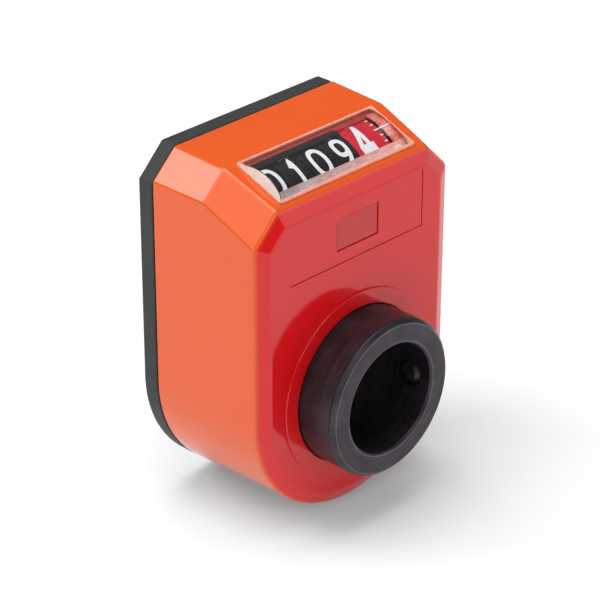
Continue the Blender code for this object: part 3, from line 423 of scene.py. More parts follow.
def outlineLoop(bm, y, halfWidth, top, chamferX, chamferZ, arcSteps):
    # two cut corners and straight sides, and the round lower end by spinning one vertex half a turn
    left = [bm.verts.new(Vector(point) * mm) for point in
            ((-halfWidth + chamferX, y, top), (-halfWidth, y, top - chamferZ), (-halfWidth, y, 0))]
    for pair in zip(left, left[1:]):
        bm.edges.new(pair)
    spun = bmesh.ops.spin(bm, geom=[left[-1]], cent=(0, y * mm, 0), axis=(0, -1, 0), angle=math.pi,
                          steps=arcSteps)
    right = [bm.verts.new(Vector(point) * mm) for point in
             ((halfWidth, y, top - chamferZ), (halfWidth - chamferX, y, top))]
    right.insert(0, spun["geom_last"][0])
    for pair in zip(right, right[1:] + left[:1]):
        bm.edges.new(pair)
    return [e for e in bm.edges if all(abs(v.co.y - y * mm) < sliverSize for v in e.verts)]


def loftForm(stations, arcSteps):
    # closed form through outlines one behind the other
    bm = bmesh.new()
    loops = [outlineLoop(bm, *station, arcSteps) for station in stations]
    for first, second in zip(loops, loops[1:]):
        bmesh.ops.bridge_loops(bm, edges=first + second)
    bmesh.ops.contextual_create(bm, geom=loops[0])
    bmesh.ops.contextual_create(bm, geom=loops[-1])
    bmesh.ops.recalc_face_normals(bm, faces=bm.faces)
    return bm


def slopeBox(halfWidth, start, end, low, high):
    # box square to the sloping face, in mm down it and out of it
    size = Vector((2 * halfWidth, end - start, high - low)) * mm
    middle = slopeTop + downSlope * ((start + end) / 2 * mm) + outOfSlope * ((low + high) / 2 * mm)
    turn = Matrix((Vector((1, 0, 0)), downSlope, outOfSlope)).transposed().to_4x4()
    bm = bmesh.new()
    place = Matrix.Translation(middle) @ turn @ Matrix.Diagonal((*size, 1))
    bmesh.ops.create_cube(bm, size=1, matrix=place)
    bmesh.ops.recalc_face_normals(bm, faces=bm.faces)
    return bm


def addBoss(case):
    # collar inside and low boss outside, then the bush's hole through both
    b = {"radius": 17.44, "height": 0.4, "edge": 0.22, "footReach": 0.12, "footHeight": 0.05,
         "footFlush": 0.001, "root": 0.9, "collar": 16.4, "collarFront": 0.8, "collarRear": -9.4,
         "hole": 14.5, "holeEdge": 0.15, "holeAhead": 2, "holeRear": -8, "steps": 144, "collarSteps": 96}
    collarFront = frontY + b["collarFront"]
    collar = [(0, collarFront), (b["collar"], collarFront), (b["collar"], b["collarRear"]),
              (0, b["collarRear"])]
    carve(case, spinForm(collar, "Y", b["collarSteps"]), "UNION")
    face = frontY - b["height"]
    edge = b["edge"]
    foot = b["radius"] + b["footReach"]
    boss = [(0, face), (b["radius"] - edge, face)]
    for angle in (30, 60, 90):
        turn = math.radians(angle)
        boss.append((b["radius"] - edge + edge * math.sin(turn), face + edge - edge * math.cos(turn)))
    boss += [(b["radius"], frontY + b["footHeight"]), (foot, frontY + b["footFlush"]),
             (foot, frontY + b["root"]), (0, frontY + b["root"])]
    carve(case, spinForm(boss, "Y", b["steps"]), "UNION")
    inner, mouth, ahead = b["hole"], b["hole"] + b["holeEdge"], frontY - b["holeAhead"]
    hole = [(0, ahead), (mouth, ahead), (mouth, face), (inner, face + b["holeEdge"]), (inner, b["holeRear"]),
            (0, b["holeRear"])]
    carve(case, spinForm(hole, "Y", b["steps"]))


def cutFront(case, left, right, low, high, depth):
    # sunk rectangle in the front face
    carve(case, boxForm((left * mm, (frontY - 1) * mm, low * mm),
                        (right * mm, (frontY + depth) * mm, high * mm)))


def cutCorner(case, half, low, high, line, depth):
    # grooves along the lower and right edges only
    cutFront(case, -half, half, low, low + line, depth)
    cutFront(case, half - line, half, low, high, depth)


def buildCase():
    opening = {"half": 16.12, "start": 0.06, "end": 11.04, "below": -4, "above": 1}
    label = {"half": 16.0, "low": 24.35, "high": 35.05, "line": 0.17, "lineDepth": 0.2, "step": 0.05}
    recess = {"half": 5.0, "low": 26.8, "high": 32.8, "line": 0.16, "lineDepth": 0.45, "step": 0.22,
              "floorGap": 0.25, "floorProud": 0.03, "floorSunk": 0.05}
    form = loftForm(bodyForm["stations"], bodyForm["arcSteps"])
    bevelSharp(form, bodyForm["edgeRadius"], bodyForm["edgeSegments"])
    case = looseObject("case_shell", form)
    carve(case, loftForm(bodyForm["cavity"], bodyForm["cavitySteps"]))
    addBoss(case)
    carve(case, slopeBox(opening["half"], opening["start"], opening["end"], opening["below"],
                         opening["above"]))
    for mark in (label, recess):
        cutFront(case, -mark["half"], mark["half"], mark["low"], mark["high"], mark["step"])
        cutCorner(case, mark["half"], mark["low"], mark["high"], mark["line"], mark["lineDepth"])
    finishPiece(case, orange, "housing", ["case"], 25)
    gap = recess["floorGap"]
    floorY = frontY + recess["step"]
    front, back = floorY - recess["floorProud"], floorY + recess["floorSunk"]
    floor = boxForm(((gap - recess["half"]) * mm, front * mm, (recess["low"] + gap) * mm),
                    ((recess["half"] - gap) * mm, back * mm, (recess["high"] - gap) * mm))
    makePiece("recess_floor", floor, recessRed, "housing")


baseForm = {"stations": [(0.0, 24.0, 43.0, 5.4, 5.4), (-3.2, 24.0, 43.0, 5.4, 5.4)], "edge": 0.28,
            "hole": 14.6, "holeEdge": 0.3, "holeEnd": -4, "sealInner": 17.1, "sealOuter": 19.7,
            "sealDepth": 1.0, "pinHole": 3.05, "pinHoleEdge": 0.25, "pinHoleEnd": -1.9, "pinHeight": 30.0,
            "steps": 128, "pinSteps": 48}


def rearHole(radius, end, edge, steps, centre=(0, 0, 0)):
    # hole from the rear face inwards with a chamfered mouth
    mouth = {"start": -0.2, "end": 0.1, "above": 1}
    return spinForm([(0, end), (radius, end), (radius, mouth["start"]), (radius + edge, mouth["end"]),
                     (radius + edge, mouth["above"]), (0, mouth["above"])], "Y", steps, centre)


def buildBase():
    b = baseForm
    form = loftForm(b["stations"], bodyForm["arcSteps"])
    bevelSharp(form, b["edge"], 3)
    base = looseObject("base_plate", form)
    carve(base, rearHole(b["hole"], b["holeEnd"], b["holeEdge"], b["steps"]))
    carve(base, spinForm([(b["sealInner"], -b["sealDepth"]), (b["sealOuter"], -b["sealDepth"]),
                          (b["sealOuter"], 1), (b["sealInner"], 1)], "Y", b["steps"]))
    carve(base, rearHole(b["pinHole"], b["pinHoleEnd"], b["pinHoleEdge"], b["pinSteps"],
                         (0, 0, b["pinHeight"] * mm)))
    finishPiece(base, baseDark, "housing", ["rear_base"], 30)


buildCase()
buildBase()
print("case and base built")


def buildFoamRing():
    ring = {"inner": 17.2, "outer": 19.6, "low": -0.9, "high": 0.5, "round": 0.35, "roundShare": 0.3,
            "steps": 160}
    inner, outer, high, full = ring["inner"], ring["outer"], ring["high"], ring["round"]
    part = ring["roundShare"] * full
    profile = [(inner, ring["low"]), (outer, ring["low"]), (outer, high - full), (outer - part, high - part),
               (outer - full, high), (inner + full, high), (inner + part, high - part), (inner, high - full)]
    makePiece("foam_ring", spinForm(profile, "Y", ring["steps"]), foam, "housing", ["foam_seal"])


def buildPin():
    pin = {"radius": 3.0, "start": -1.8, "length": 6.0, "lead": 0.6, "shoulder": 0.12, "shoulderBack": 0.25,
           "steps": 64}
    radius, length, lead = pin["radius"], pin["length"], pin["lead"]
    profile = [(0, pin["start"]), (radius, pin["start"]), (radius, length - lead),
               (radius - pin["shoulder"], length - pin["shoulderBack"]), (radius - lead, length), (0, length)]
    makePiece("anti_turn_pin", spinForm(profile, "Y", pin["steps"], (0, 0, baseForm["pinHeight"] * mm)),
              pinDark, "housing", ["torque_pin"])


buildFoamRing()
buildPin()
print("rear pieces built")

bushForm = {"bore": 10.0, "boreChamfer": 0.45, "outer": 14.4, "frontChamfer": 0.7, "rearChamfer": 0.35,
            "soft": 0.08, "front": -36.0, "rear": -0.3, "groove": (0.2, 0.24, 0.36, 0.4),
            "grooveDepth": 0.09, "shoulder": 16.2, "shoulderFront": -8.3, "shoulderRear": -7.2,
            "clipFront": -3.95, "clipRear": -3.15, "clipDepth": 0.6, "steps": 160, "tapped": 2.5,
            "tapFrom": 8, "tapTo": 16, "grubY": -31.0, "grubTurn": -5.0}
grubPlace = Matrix.Translation((0, bushForm["grubY"] * mm, 0)) @ Matrix.Rotation(
    -math.radians(bushForm["grubTurn"]), 4, "Y")


def buildBush():
    # turned sleeve, its section drawn from the front face round the outside and back through the bore
    b = bushForm
    soft, bore, outer, front, rear = b["soft"], b["bore"], b["outer"], b["front"], b["rear"]
    chamfer, boreChamfer = b["frontChamfer"], b["boreChamfer"]
    mouth = bore + boreChamfer
    corner = front + chamfer
    floor = outer - b["grooveDepth"]
    clip = outer - b["clipDepth"]
    groove = [corner + step for step in b["groove"]]
    profile = [(mouth + soft, front), (outer - chamfer - soft, front),
               (outer - chamfer + soft, front + soft), (outer - soft, corner - soft), (outer, corner + soft),
               (outer, groove[0]), (floor, groove[1]), (floor, groove[2]), (outer, groove[3]),
               (outer, b["shoulderFront"]), (b["shoulder"], b["shoulderFront"]),
               (b["shoulder"], b["shoulderRear"]), (outer, b["shoulderRear"]), (outer, b["clipFront"]),
               (clip, b["clipFront"]), (clip, b["clipRear"]), (outer, b["clipRear"]),
               (outer, rear - b["rearChamfer"]), (outer - b["rearChamfer"], rear), (mouth + soft, rear),
               (mouth - soft, rear - soft), (bore + soft, rear - boreChamfer + soft),
               (bore, rear - boreChamfer - soft), (bore, front + boreChamfer + soft),
               (bore + soft, front + boreChamfer - soft), (mouth - soft, front + soft)]
    bush = looseObject("through_bush", spinForm(profile, "Y", b["steps"]))
    hole = spinForm([(0, b["tapFrom"]), (b["tapped"], b["tapFrom"]), (b["tapped"], b["tapTo"]),
                     (0, b["tapTo"])], "X", 32)
    bmesh.ops.transform(hole, matrix=grubPlace, verts=hole.verts)
    carve(bush, hole)
    finishPiece(bush, blackSteel, "bush", ["bush"], 30)


def buildGrubScrew():
    g = {"radius": 2.4, "tip": 9.85, "length": 4.0, "tipRadius": 1.35, "tipHollow": 0.35, "neck": 0.7,
         "firstCrest": 0.95, "lastCrest": 0.5, "pitch": 0.8, "threadDepth": 0.22, "endRound": 0.2,
         "endBack": 0.1, "endChamfer": 0.4, "socket": 1.45, "socketDepth": 2.2, "socketWall": 2.0,
         "steps": 48}
    tip, root = g["tip"], g["radius"] - g["threadDepth"]
    end = tip + g["length"]
    profile = [(0, tip + g["tipHollow"]), (g["tipRadius"] - g["tipHollow"], tip), (g["tipRadius"], tip),
               (root, tip + g["neck"])]
    crest = tip + g["firstCrest"]
    while crest < end - g["lastCrest"]:   # plain rings stand for the thread
        profile += [(g["radius"], crest), (root, crest + g["pitch"] / 2)]
        crest += g["pitch"]
    profile += [(g["radius"] - g["endRound"], end - g["endBack"]), (g["radius"] - g["endChamfer"], end),
                (0, end)]
    screwForm = spinForm(profile, "X", g["steps"])
    bmesh.ops.transform(screwForm, matrix=grubPlace, verts=screwForm.verts)
    screw = looseObject("clamp_screw", screwForm)
    socketForm = spinForm([(0, end - g["socketDepth"]), (g["socket"], end - g["socketWall"]),
                           (g["socket"], end + 1), (0, end + 1)], "X", 6)   # six steps make the hexagon
    bmesh.ops.transform(socketForm, matrix=grubPlace, verts=socketForm.verts)
    carve(screw, socketForm)
    finishPiece(screw, blackSteel, "grub_screw", ["grub_screw"], 30)


buildBush()
buildGrubScrew()
print("bush and grub screw built")

wheelForm = {"radius": 8.8, "edge": 0.12, "edgeShare": 0.3, "cup": 7.5, "hub": 2.05, "bore": 1.3,
             "cupDepth": 1.7, "redCupDepth": 0.4, "cupRight": 6.6, "redCupRight": 5.0, "steps": 120,
             "lip": 0.75, "lipInner": 8.45}
figureForm = {"height": 5.2, "stroke": 0.78, "unitsHeight": 5.5, "unitsStroke": 0.84, "lift": 0.03,
              "step": 0.3, "sightAngle": 28.2, "unitsAngle": 22.4, "shift": 0.55, "unitsShift": -1.0,
              "footWeight": 1.7, "sharpest": 0.3, "clearance": 0.005, "strokeStep": 0.004, "pitch": 36.0,
              "widths": (3.6, 1.7, 3.1, 3.0, 3.6, 3.0, 3.05, 3.0, 3.1, 3.05),
              "reading": {"wheel_ten_thousands": 0, "wheel_thousands": 1, "wheel_hundreds": 0,
                          "wheel_tens": 9, "wheel_units": 4}}
wheelBody = {"wheel_units": "units_wheel", "wheel_tens": "tens_wheel", "wheel_hundreds": "hundreds_wheel",
             "wheel_thousands": "thousands_wheel", "wheel_ten_thousands": "ten_thousands_wheel"}


def arcPoints(centreX, centreY, reachX, reachY, start, end, steps=26):
    points = []
    for step in range(steps + 1):
        angle = math.radians(start + (end - start) * step / steps)
        points.append((centreX + reachX * math.cos(angle), centreY + reachY * math.sin(angle)))
    return points


def ovalPoints(centreX, centreY, reachX, reachY, square=0.82, steps=48):
    # closed oval, squarer as the power falls below one
    points = []
    for step in range(steps):
        angle = 2 * math.pi * step / steps
        c, d = math.cos(angle), math.sin(angle)
        points.append((centreX + reachX * math.copysign(abs(c) ** square, c),
                       centreY + reachY * math.copysign(abs(d) ** square, d)))
    return points + points[:1]


# centre lines of the figures, in a box one unit wide and one unit high
figureStrokes = {
    0: [ovalPoints(0, 0, 0.5, 0.5)],
    1: [[(-0.5, 0.2), (0.3, 0.5), (0.3, -0.5)]],
    2: [arcPoints(0, 0.22, 0.5, 0.28, 165, -35) + [(-0.48, -0.48)], [(-0.6, -0.5), (0.55, -0.5)]],
    3: [arcPoints(0, 0.26, 0.44, 0.24, 155, -90) + arcPoints(0, -0.24, 0.5, 0.26, 90, -155)[1:]],
    4: [[(0.2, 0.47), (-0.5, -0.4)], [(0.2, 0.56), (0.2, -0.62)], [(-0.58, -0.42), (0.6, -0.42)]],
    5: [[(0.45, 0.5), (-0.36, 0.5), (-0.42, 0.02)] + arcPoints(0, -0.18, 0.5, 0.32, 138, -148)],
    6: [ovalPoints(0, -0.19, 0.5, 0.31), arcPoints(0.2, -0.19, 0.7, 0.69, 180, 90)],
    7: [[(-0.55, 0.5), (0.5, 0.5)], [(0.48, 0.42), (-0.1, -0.55)]],
    8: [ovalPoints(0, 0.26, 0.42, 0.24), ovalPoints(0, -0.24, 0.5, 0.26)],
    9: [ovalPoints(0, 0.19, 0.5, 0.31), arcPoints(-0.2, 0.19, 0.7, 0.69, 0, -90)],
}


def finerPath(path, step):
    # more points along the straight parts, so that they bend with the drum
    fine = [path[0]]
    for (x0, y0), (x1, y1) in zip(path, path[1:]):
        parts = max(1, math.ceil(math.hypot(x1 - x0, y1 - y0) / step))
        fine += [(x0 + (x1 - x0) * k / parts, y0 + (y1 - y0) * k / parts) for k in range(1, parts + 1)]
    return fine


def strokeSides(points, closed, stroke):
    # the two sides of a stroke of one width, mitred where its centre line turns
    sides = []
    count = len(points)
    for k, point in enumerate(points):
        before = points[k - 1] if closed or k else None
        after = points[(k + 1) % count] if closed or k < count - 1 else None
        first = (point - before).normalized() if before is not None else (after - point).normalized()
        second = (after - point).normalized() if after is not None else first
        middle = (first + second).normalized()
        across = Vector((-middle.y, middle.x))
        mitre = max(abs(across.dot(Vector((-first.y, first.x)))), figureForm["sharpest"])
        reach = min(stroke / 2 / mitre, stroke)
        sides.append((point + across * reach, point - across * reach))
    return sides


def wrapStroke(bm, path, centreX, angle, stroke, radius):
    # a flat ribbon along the path, bent round the drum with the foot of the figure towards the front
    def onDrum(place):
        turn = math.radians(angle) - place.y / radius
        return ((centreX + place.x) * mm, drumCentre.y - radius * mm * math.sin(turn),
                drumCentre.z + radius * mm * math.cos(turn))

    closed = math.dist(path[0], path[-1]) < 1e-6
    points = [Vector(point) for point in finerPath(path, figureForm["step"])]
    if closed:
        points.pop()
    sides = strokeSides(points, closed, stroke)
    row = [bm.verts.new(onDrum(one)) for one, _ in sides]
    edges = [bm.edges.new(pair) for pair in zip(row, row[1:] + row[:1] if closed else row[1:])]
    pulled = bmesh.ops.extrude_edge_only(bm, edges=edges)["geom"]
    pulled = {part for part in pulled if isinstance(part, bmesh.types.BMVert)}
    for vert, (_, other) in zip(row, sides):
        partner = next(e.other_vert(vert) for e in vert.link_edges if e.other_vert(vert) in pulled)
        partner.co = onDrum(other)


def makeRiding(obj, material, body):
    # flat printed marks keep their faceted shading
    obj.data.materials.clear()
    obj.data.materials.append(material)
    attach(obj, body)


def figureRing(name, centreX, reading, sight, height, stroke, body, slotName):
    # the ten figures round one wheel, the next one above the one that is read
    ring = bmesh.new()
    for digit, strokes in figureStrokes.items():
        wide, tall = figureForm["widths"][digit] - stroke, height - stroke
        angle = sight + (reading - digit) * figureForm["pitch"]
        for order, path in enumerate(strokes):
            scaled = [(x * wide, y * tall) for x, y in path]
            foot = digit == 4 and order == 2
            weight = stroke * (figureForm["footWeight"] if foot else 1.0)
            lift = figureForm["clearance"] + figureForm["strokeStep"] * order   # no two share a surface
            wrapStroke(ring, scaled, centreX, angle, weight, wheelForm["radius"] + lift)
    for face in ring.faces:
        face.normal_update()
        outward = face.calc_center_median() - drumCentre
        outward.x = 0
        if face.normal.dot(outward) < 0:
            face.normal_flip()
    figures = looseObject(name, ring)
    thick = figures.modifiers.new("thickness", "SOLIDIFY")
    thick.thickness = figureForm["lift"] * mm
    thick.offset = 1
    makeRiding(figures, figureWhite, body)


def buildWheel(node):
    w, f = wheelForm, figureForm
    low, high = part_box(node)
    left, right = low.x / mm, high.x / mm
    red = node == "wheel_units"
    cupRight = w["redCupRight"] if red else w["cupRight"]
    cupFloor = right - (w["redCupDepth"] if red else w["cupDepth"])
    rimEnd = right if red else right + w["lip"]
    edge = w["edge"]
    part = edge * w["edgeShare"]
    radius, hub, cup = w["radius"], w["hub"], w["cup"]
    profile = [(w["bore"], left), (hub, left), (hub, left + w["cupDepth"]), (cup, left + w["cupDepth"]),
               (cup, left), (radius - edge, left), (radius - part, left + part), (radius, left + edge),
               (radius, rimEnd - edge), (radius - part, rimEnd - part), (radius - edge, rimEnd)]
    if not red:
        profile += [(w["lipInner"], rimEnd), (w["lipInner"], right)]   # the lip covers the carrier's edge
    profile += [(cupRight, right), (cupRight, cupFloor), (hub, cupFloor), (hub, right), (w["bore"], right)]
    slotName = "wheel_red" if red else "wheel_black"
    form = spinForm(profile, "X", w["steps"], (0, drumCentre.y, drumCentre.z))
    makePiece(node + "_rim", form, wheelRed if red else wheelBlack, wheelBody[node], [node], 30)
    centreX = (left + right) / 2 + (f["unitsShift"] if red else f["shift"])
    look = (f["sightAngle"], f["height"], f["stroke"])
    if red:
        look = (f["unitsAngle"], f["unitsHeight"], f["unitsStroke"])
    figureRing(node + "_figures", centreX, f["reading"][node], *look, wheelBody[node], slotName)


def buildGraduations():
    g = {"count": 50, "length": 0.6, "width": 0.22, "inset": 0.2}
    lift = figureForm["lift"]
    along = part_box("wheel_units")[1].x / mm - g["inset"] - g["length"] / 2
    size = Vector((g["length"], g["width"], lift * 2)) * mm
    outward = Matrix.Translation((along * mm, 0, (wheelForm["radius"] + lift / 2) * mm))
    bm = bmesh.new()
    for step in range(g["count"]):
        angle = math.radians(figureForm["sightAngle"] + step * 360.0 / g["count"])
        place = Matrix.Translation(drumCentre) @ Matrix.Rotation(angle, 4, "X") @ outward
        bmesh.ops.create_cube(bm, size=1, matrix=place @ Matrix.Diagonal((*size, 1)))
    makeRiding(looseObject("wheel_units_graduations", bm), figureWhite, "units_wheel")


for node in wheelBody:
    buildWheel(node)
buildGraduations()
print("number wheels built")

# the dome in mm down the slope and off it, angles in degrees about the centre of its section
lensForm = {"halfWidth": 16.1, "start": 0.1, "end": 11.0, "depth": 2.6, "foot": 0.1, "leftLean": 0.38,
            "rightLean": 1.0, "centreAlong": 6.13, "centreOff": -7.65, "radius": 9.66, "lowAngle": 26.0,
            "highAngle": -36.5, "steps": 48, "hollow": 9.2, "hollowLeft": -20, "hollowRight": 17.0,
            "hollowSteps": 160, "edge": 0.14}


def onSlope(x, along, off):
    return slopeTop + downSlope * (along * mm) + outOfSlope * (off * mm) + Vector((x * mm, 0, 0))


def lensArc(grow=0.0):
    # section of the dome, from the low edge up over the top, as (down the slope, off the slope)
    w = lensForm
    reach = w["radius"] + grow
    points = []
    for step in range(w["steps"] + 1):
        angle = math.radians(w["lowAngle"] + (w["highAngle"] - w["lowAngle"]) * step / w["steps"])
        points.append((w["centreAlong"] + reach * math.sin(angle), w["centreOff"] + reach * math.cos(angle)))
    return points


def endVerts(bm, section, side, lean):
    # corners of one leaning end of the dome
    return [bm.verts.new(onSlope(side * (lensForm["halfWidth"] - lean * max(off, 0.0)), along, off))
            for along, off in section]


def buildLens():
    w = lensForm
    section = [(w["start"], -w["depth"]), (w["end"], -w["depth"]), (w["end"], w["foot"])] + lensArc()
    section.append((w["start"], 0.0))
    bm = bmesh.new()
    loops = [endVerts(bm, section, -1, w["leftLean"]), endVerts(bm, section, 1, w["rightLean"])]
    edges = [bm.edges.new((verts[i - 1], verts[i])) for verts in loops for i in range(len(verts))]
    bmesh.ops.bridge_loops(bm, edges=edges)
    for verts in loops:
        bmesh.ops.contextual_create(bm, geom=verts)
    bmesh.ops.recalc_face_normals(bm, faces=bm.faces)
    bevelSharp(bm, w["edge"], 3, 25)
    lens = looseObject("lens", bm)
    hollow = [(0, w["hollowLeft"]), (w["hollow"], w["hollowLeft"]), (w["hollow"], w["hollowRight"]),
              (0, w["hollowRight"])]
    carve(lens, spinForm(hollow, "X", w["hollowSteps"], (0, drumCentre.y, drumCentre.z)))
    finishPiece(lens, clear, "housing", ["window"], 20)


def buildLensEnd():
    # satin plate that closes the left end of the dome
    end = {"gap": 0.03, "thickness": 0.05, "inset": 0.1, "low": 0.15, "high": (0.45, 0.1)}
    section = [(lensForm["end"] - end["inset"], end["low"])] + lensArc(-end["inset"]) + [end["high"]]
    bm = bmesh.new()
    verts = []
    for along, off in section:
        x = -lensForm["halfWidth"] + lensForm["leftLean"] * max(off, 0.0) - end["gap"]
        verts.append(bm.verts.new(onSlope(x, along, off)))
    bmesh.ops.contextual_create(bm, geom=verts)
    plate = looseObject("lens_end", bm)
    thick = plate.modifiers.new("thickness", "SOLIDIFY")
    thick.thickness = end["thickness"] * mm
    thick.offset = 0
    finishPiece(plate, frosted, "housing")


def buildLensRim():
    # low rounded flange round the foot of the dome
    rim = {"width": 0.8, "height": 0.42, "depth": -0.6, "round": 0.18, "out": 0.12, "topShare": 0.6,
           "lowShare": 0.7, "corner": 0.5}
    w = lensForm
    form = slopeBox(w["halfWidth"] + rim["out"], w["start"], w["end"] + rim["out"], rim["depth"],
                    rim["height"])
    upright = [e for e in form.edges    # the four corner edges, square to the slope
               if abs((e.verts[1].co - e.verts[0].co).normalized().dot(outOfSlope)) > 0.9]
    bmesh.ops.bevel(form, geom=upright, offset=rim["corner"] * mm, segments=5, profile=0.5, affect="EDGES",
                    material=-1)
    flange = looseObject("lens_rim", form)
    carve(flange, slopeBox(w["halfWidth"] - rim["width"], w["start"] + rim["width"] * rim["topShare"],
                           w["end"] - rim["width"] * rim["lowShare"], -1, 1))
    form = bmesh.new()
    form.from_mesh(flange.data)
    bevelSharp(form, rim["round"], 3, 40)
    form.to_mesh(flange.data)
    form.free()
    finishPiece(flange, rimPlastic, "housing", (), 30)


def sectorForm(inner, outer, left, right, start, end, steps=24):
    # part of a ring about the drum axis, in mm and degrees towards the front
    bm = bmesh.new()
    first = math.radians(start)
    corners = [(left, inner), (right, inner), (right, outer), (left, outer)]
    verts = [bm.verts.new(drumCentre + Vector((x, -r * math.sin(first), r * math.cos(first))) * mm)
             for x, r in corners]
    face = bmesh.ops.contextual_create(bm, geom=verts)["faces"]
    bmesh.ops.spin(bm, geom=face, cent=drumCentre, axis=(1, 0, 0), angle=math.radians(end - start),
                   steps=steps)
    bmesh.ops.remove_doubles(bm, verts=bm.verts, dist=mergeDistance)
    bmesh.ops.recalc_face_normals(bm, faces=bm.faces)
    return bm


seatForm = {"inner": 8.95, "outer": 9.12, "coverInner": 9.0, "coverDrop": 0.02, "left": -16.0, "right": 16.0,
            "topStart": -32, "topEdge": 1.2, "coverEdge": 9.7, "redCoverEdge": 4.5, "redLeft": 5.5,
            "redRight": 12.95, "lowEdge": 40.2, "lowEnd": 66, "sideLeft": 13.35, "sideStart": -30,
            "sideEnd": 64}


def buildLensSeats():
    # strips of the case under the edges of the dome
    s = seatForm
    inner, outer, left, right = s["inner"], s["outer"], s["left"], s["right"]
    coverOuter = outer - s["coverDrop"]
    strips = [
        ("seat_above", inner, outer, left, right, s["topStart"], s["topEdge"], 24, seatRed, "case_plastic"),
        ("cover_black", s["coverInner"], coverOuter, left, s["redLeft"], s["topEdge"], s["coverEdge"], 6,
         wheelBlack, "carrier_plastic"),
        ("cover_red", s["coverInner"], coverOuter, s["redLeft"], s["redRight"], s["topEdge"],
         s["redCoverEdge"], 6, wheelRed, "carrier_plastic"),
        ("seat_below", inner, outer, left, right, s["lowEdge"], s["lowEnd"], 24, ledge, "clear_plastic"),
        ("seat_right", inner, coverOuter, s["sideLeft"], right, s["sideStart"], s["sideEnd"], 24,
         seatPale, "case_plastic"),
    ]
    for name, *shape, finish, slotName in strips:
        makePiece(name, sectorForm(*shape), finish, "housing")


def buildIndexLine():
    line = {"angle": 22.0, "left": 11.4, "right": 15.4, "width": 0.17, "height": 0.06, "lift": 0.02,
            "edge": 0.02}
    size = Vector((line["right"] - line["left"], line["width"], line["height"])) * mm
    middle = Vector(((line["left"] + line["right"]) / 2 * mm, 0, (seatForm["outer"] + line["lift"]) * mm))
    place = Matrix.Translation(drumCentre) @ Matrix.Rotation(math.radians(line["angle"]), 4, "X")
    bm = bmesh.new()
    bmesh.ops.create_cube(bm, size=1, matrix=place @ Matrix.Translation(middle) @ Matrix.Diagonal((*size, 1)))
    bevelSharp(bm, line["edge"], 2)
    makePiece("index_line", bm, figureWhite, "housing")


buildLens()
buildLensEnd()
buildLensRim()
buildLensSeats()
buildIndexLine()
print("window built")

# CAD pieces that stay as they are, with better finishes
insideFinish = [
    (zincSheet, ["counter_bracket"]),
    (brightSteel, ["bracket_screw_left", "bracket_screw_right", "locking_bar", "drum_axle",
                   "axle_clip_left", "axle_clip_right", "idler_pin", "idler_clip", "thrust_washer",
                   "bush_circlip", "cross_shaft"]),
    (pinDark, ["carrier_1", "carrier_2", "carrier_3", "carrier_4", "crown_gear"]),
    (whitePlastic, ["bush_gear", "transfer_pinion_1", "transfer_pinion_2", "transfer_pinion_3",
                    "transfer_pinion_4"]),
    (brass, ["idler_gear", "shaft_gear", "face_pinion"]),
    (rubber, ["front_bush_seal", "rear_bush_seal"]),
]
for material, nodeNames in insideFinish:
    for nodeName in nodeNames:
        for materialSlot in frame["nodes"][nodeName].material_slots:
            materialSlot.material = material
print("inner pieces finished")

studio = {"floorDrop": 0.02, "floorHalf": 6.0, "floorGlow": 0.11, "world": 0.15, "middle": (0, -0.016, 0.012)}
softboxes = {   # direction from the object, distance, size and power
    "keyBox": ((-0.467, 0.615, 0.65), 1.0, 0.36, 2.3),
    "topBox": ((-0.05, 0.12, 1.0), 1.1, 1.0, 10.4),
    "leftBox": ((-1.0, -0.1, 0.5), 1.1, 0.6, 2.4),
    "frontFill": ((-0.3, -1.0, 0.7), 1.6, 1.0, 3.8),
    "rightCard": ((0.63, -0.77, 0.14), 1.2, 0.9, 3.0),
    "leftCard": ((-0.62, 0.18, 0.77), 1.3, 0.5, 1.1),
}


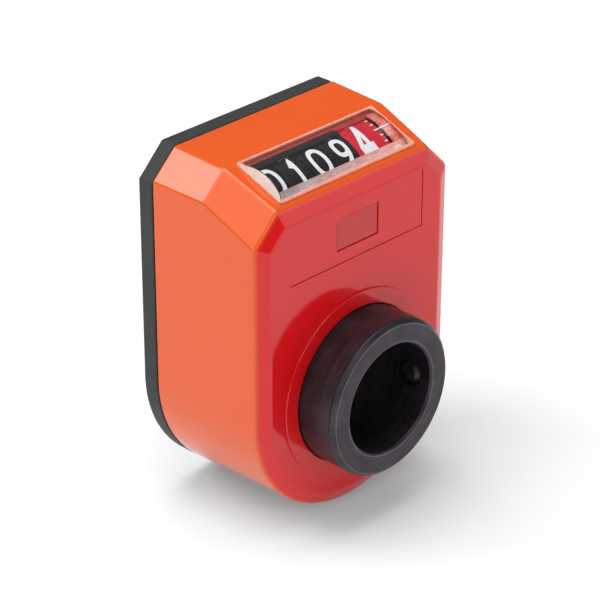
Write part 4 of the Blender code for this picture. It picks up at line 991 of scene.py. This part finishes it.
def buildFloor():
    form = bmesh.new()
    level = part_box("rear_base")[0].z - studio["floorDrop"] * mm
    bmesh.ops.create_grid(form, x_segments=2, y_segments=2, size=studio["floorHalf"],
                          matrix=Matrix.Translation((0, 0, level)))
    floor = looseObject("floor", form)
    material, _, _ = newMaterial("floorWhite", Base_Color=(0.9, 0.9, 0.9), Roughness=0.9,
                                 Emission_Color=(1.0, 1.0, 1.0), Emission_Strength=studio["floorGlow"])
    floor.data.materials.append(material)


def addSoftbox(name, direction, distance, size, power):
    lamp = bpy.data.lights.new(name, "AREA")
    lamp.shape = "SQUARE"
    lamp.size = size
    lamp.energy = power
    obj = bpy.data.objects.new(name, lamp)
    obj.location = Vector(studio["middle"]) + Vector(direction).normalized() * distance
    obj.rotation_mode = "QUATERNION"
    obj.rotation_quaternion = Vector(direction).to_track_quat("Z", "Y")
    bpy.context.scene.collection.objects.link(obj)


def lightWorld():
    world = bpy.data.worlds.new("studioWorld")
    bpy.context.scene.world = world
    world.use_nodes = True
    background = world.node_tree.nodes["Background"]
    background.inputs["Color"].default_value = (1, 1, 1, 1)
    background.inputs["Strength"].default_value = studio["world"]


def placeCamera():
    # angles in degrees, distance and aim in metres
    shot = {"azimuth": -45.597, "elevation": 28.436, "distance": 0.4418, "aim": (-0.00205, -0.01609, 0.01235),
            "lens": 154.15, "roll": 0.128}
    azimuth, elevation = math.radians(shot["azimuth"]), math.radians(shot["elevation"])
    back = Vector((math.sin(azimuth) * math.cos(elevation), -math.cos(azimuth) * math.cos(elevation),
                   math.sin(elevation)))
    lens = bpy.data.cameras.new("camera")
    lens.lens = shot["lens"]
    lens.clip_start = 0.01
    lens.clip_end = 50
    camera = bpy.data.objects.new("camera", lens)
    camera.location = Vector(shot["aim"]) + back * shot["distance"]
    camera.rotation_mode = "QUATERNION"
    turn = Matrix.Rotation(math.radians(shot["roll"]), 4, back).to_quaternion()
    camera.rotation_quaternion = turn @ (-back).to_track_quat("-Z", "Y")
    bpy.context.scene.collection.objects.link(camera)
    bpy.context.scene.camera = camera
    bpy.context.scene.view_settings.view_transform = "Standard"


buildFloor()
for name, values in softboxes.items():
    addSoftbox(name, *values)
lightWorld()
placeCamera()
print("studio ready")
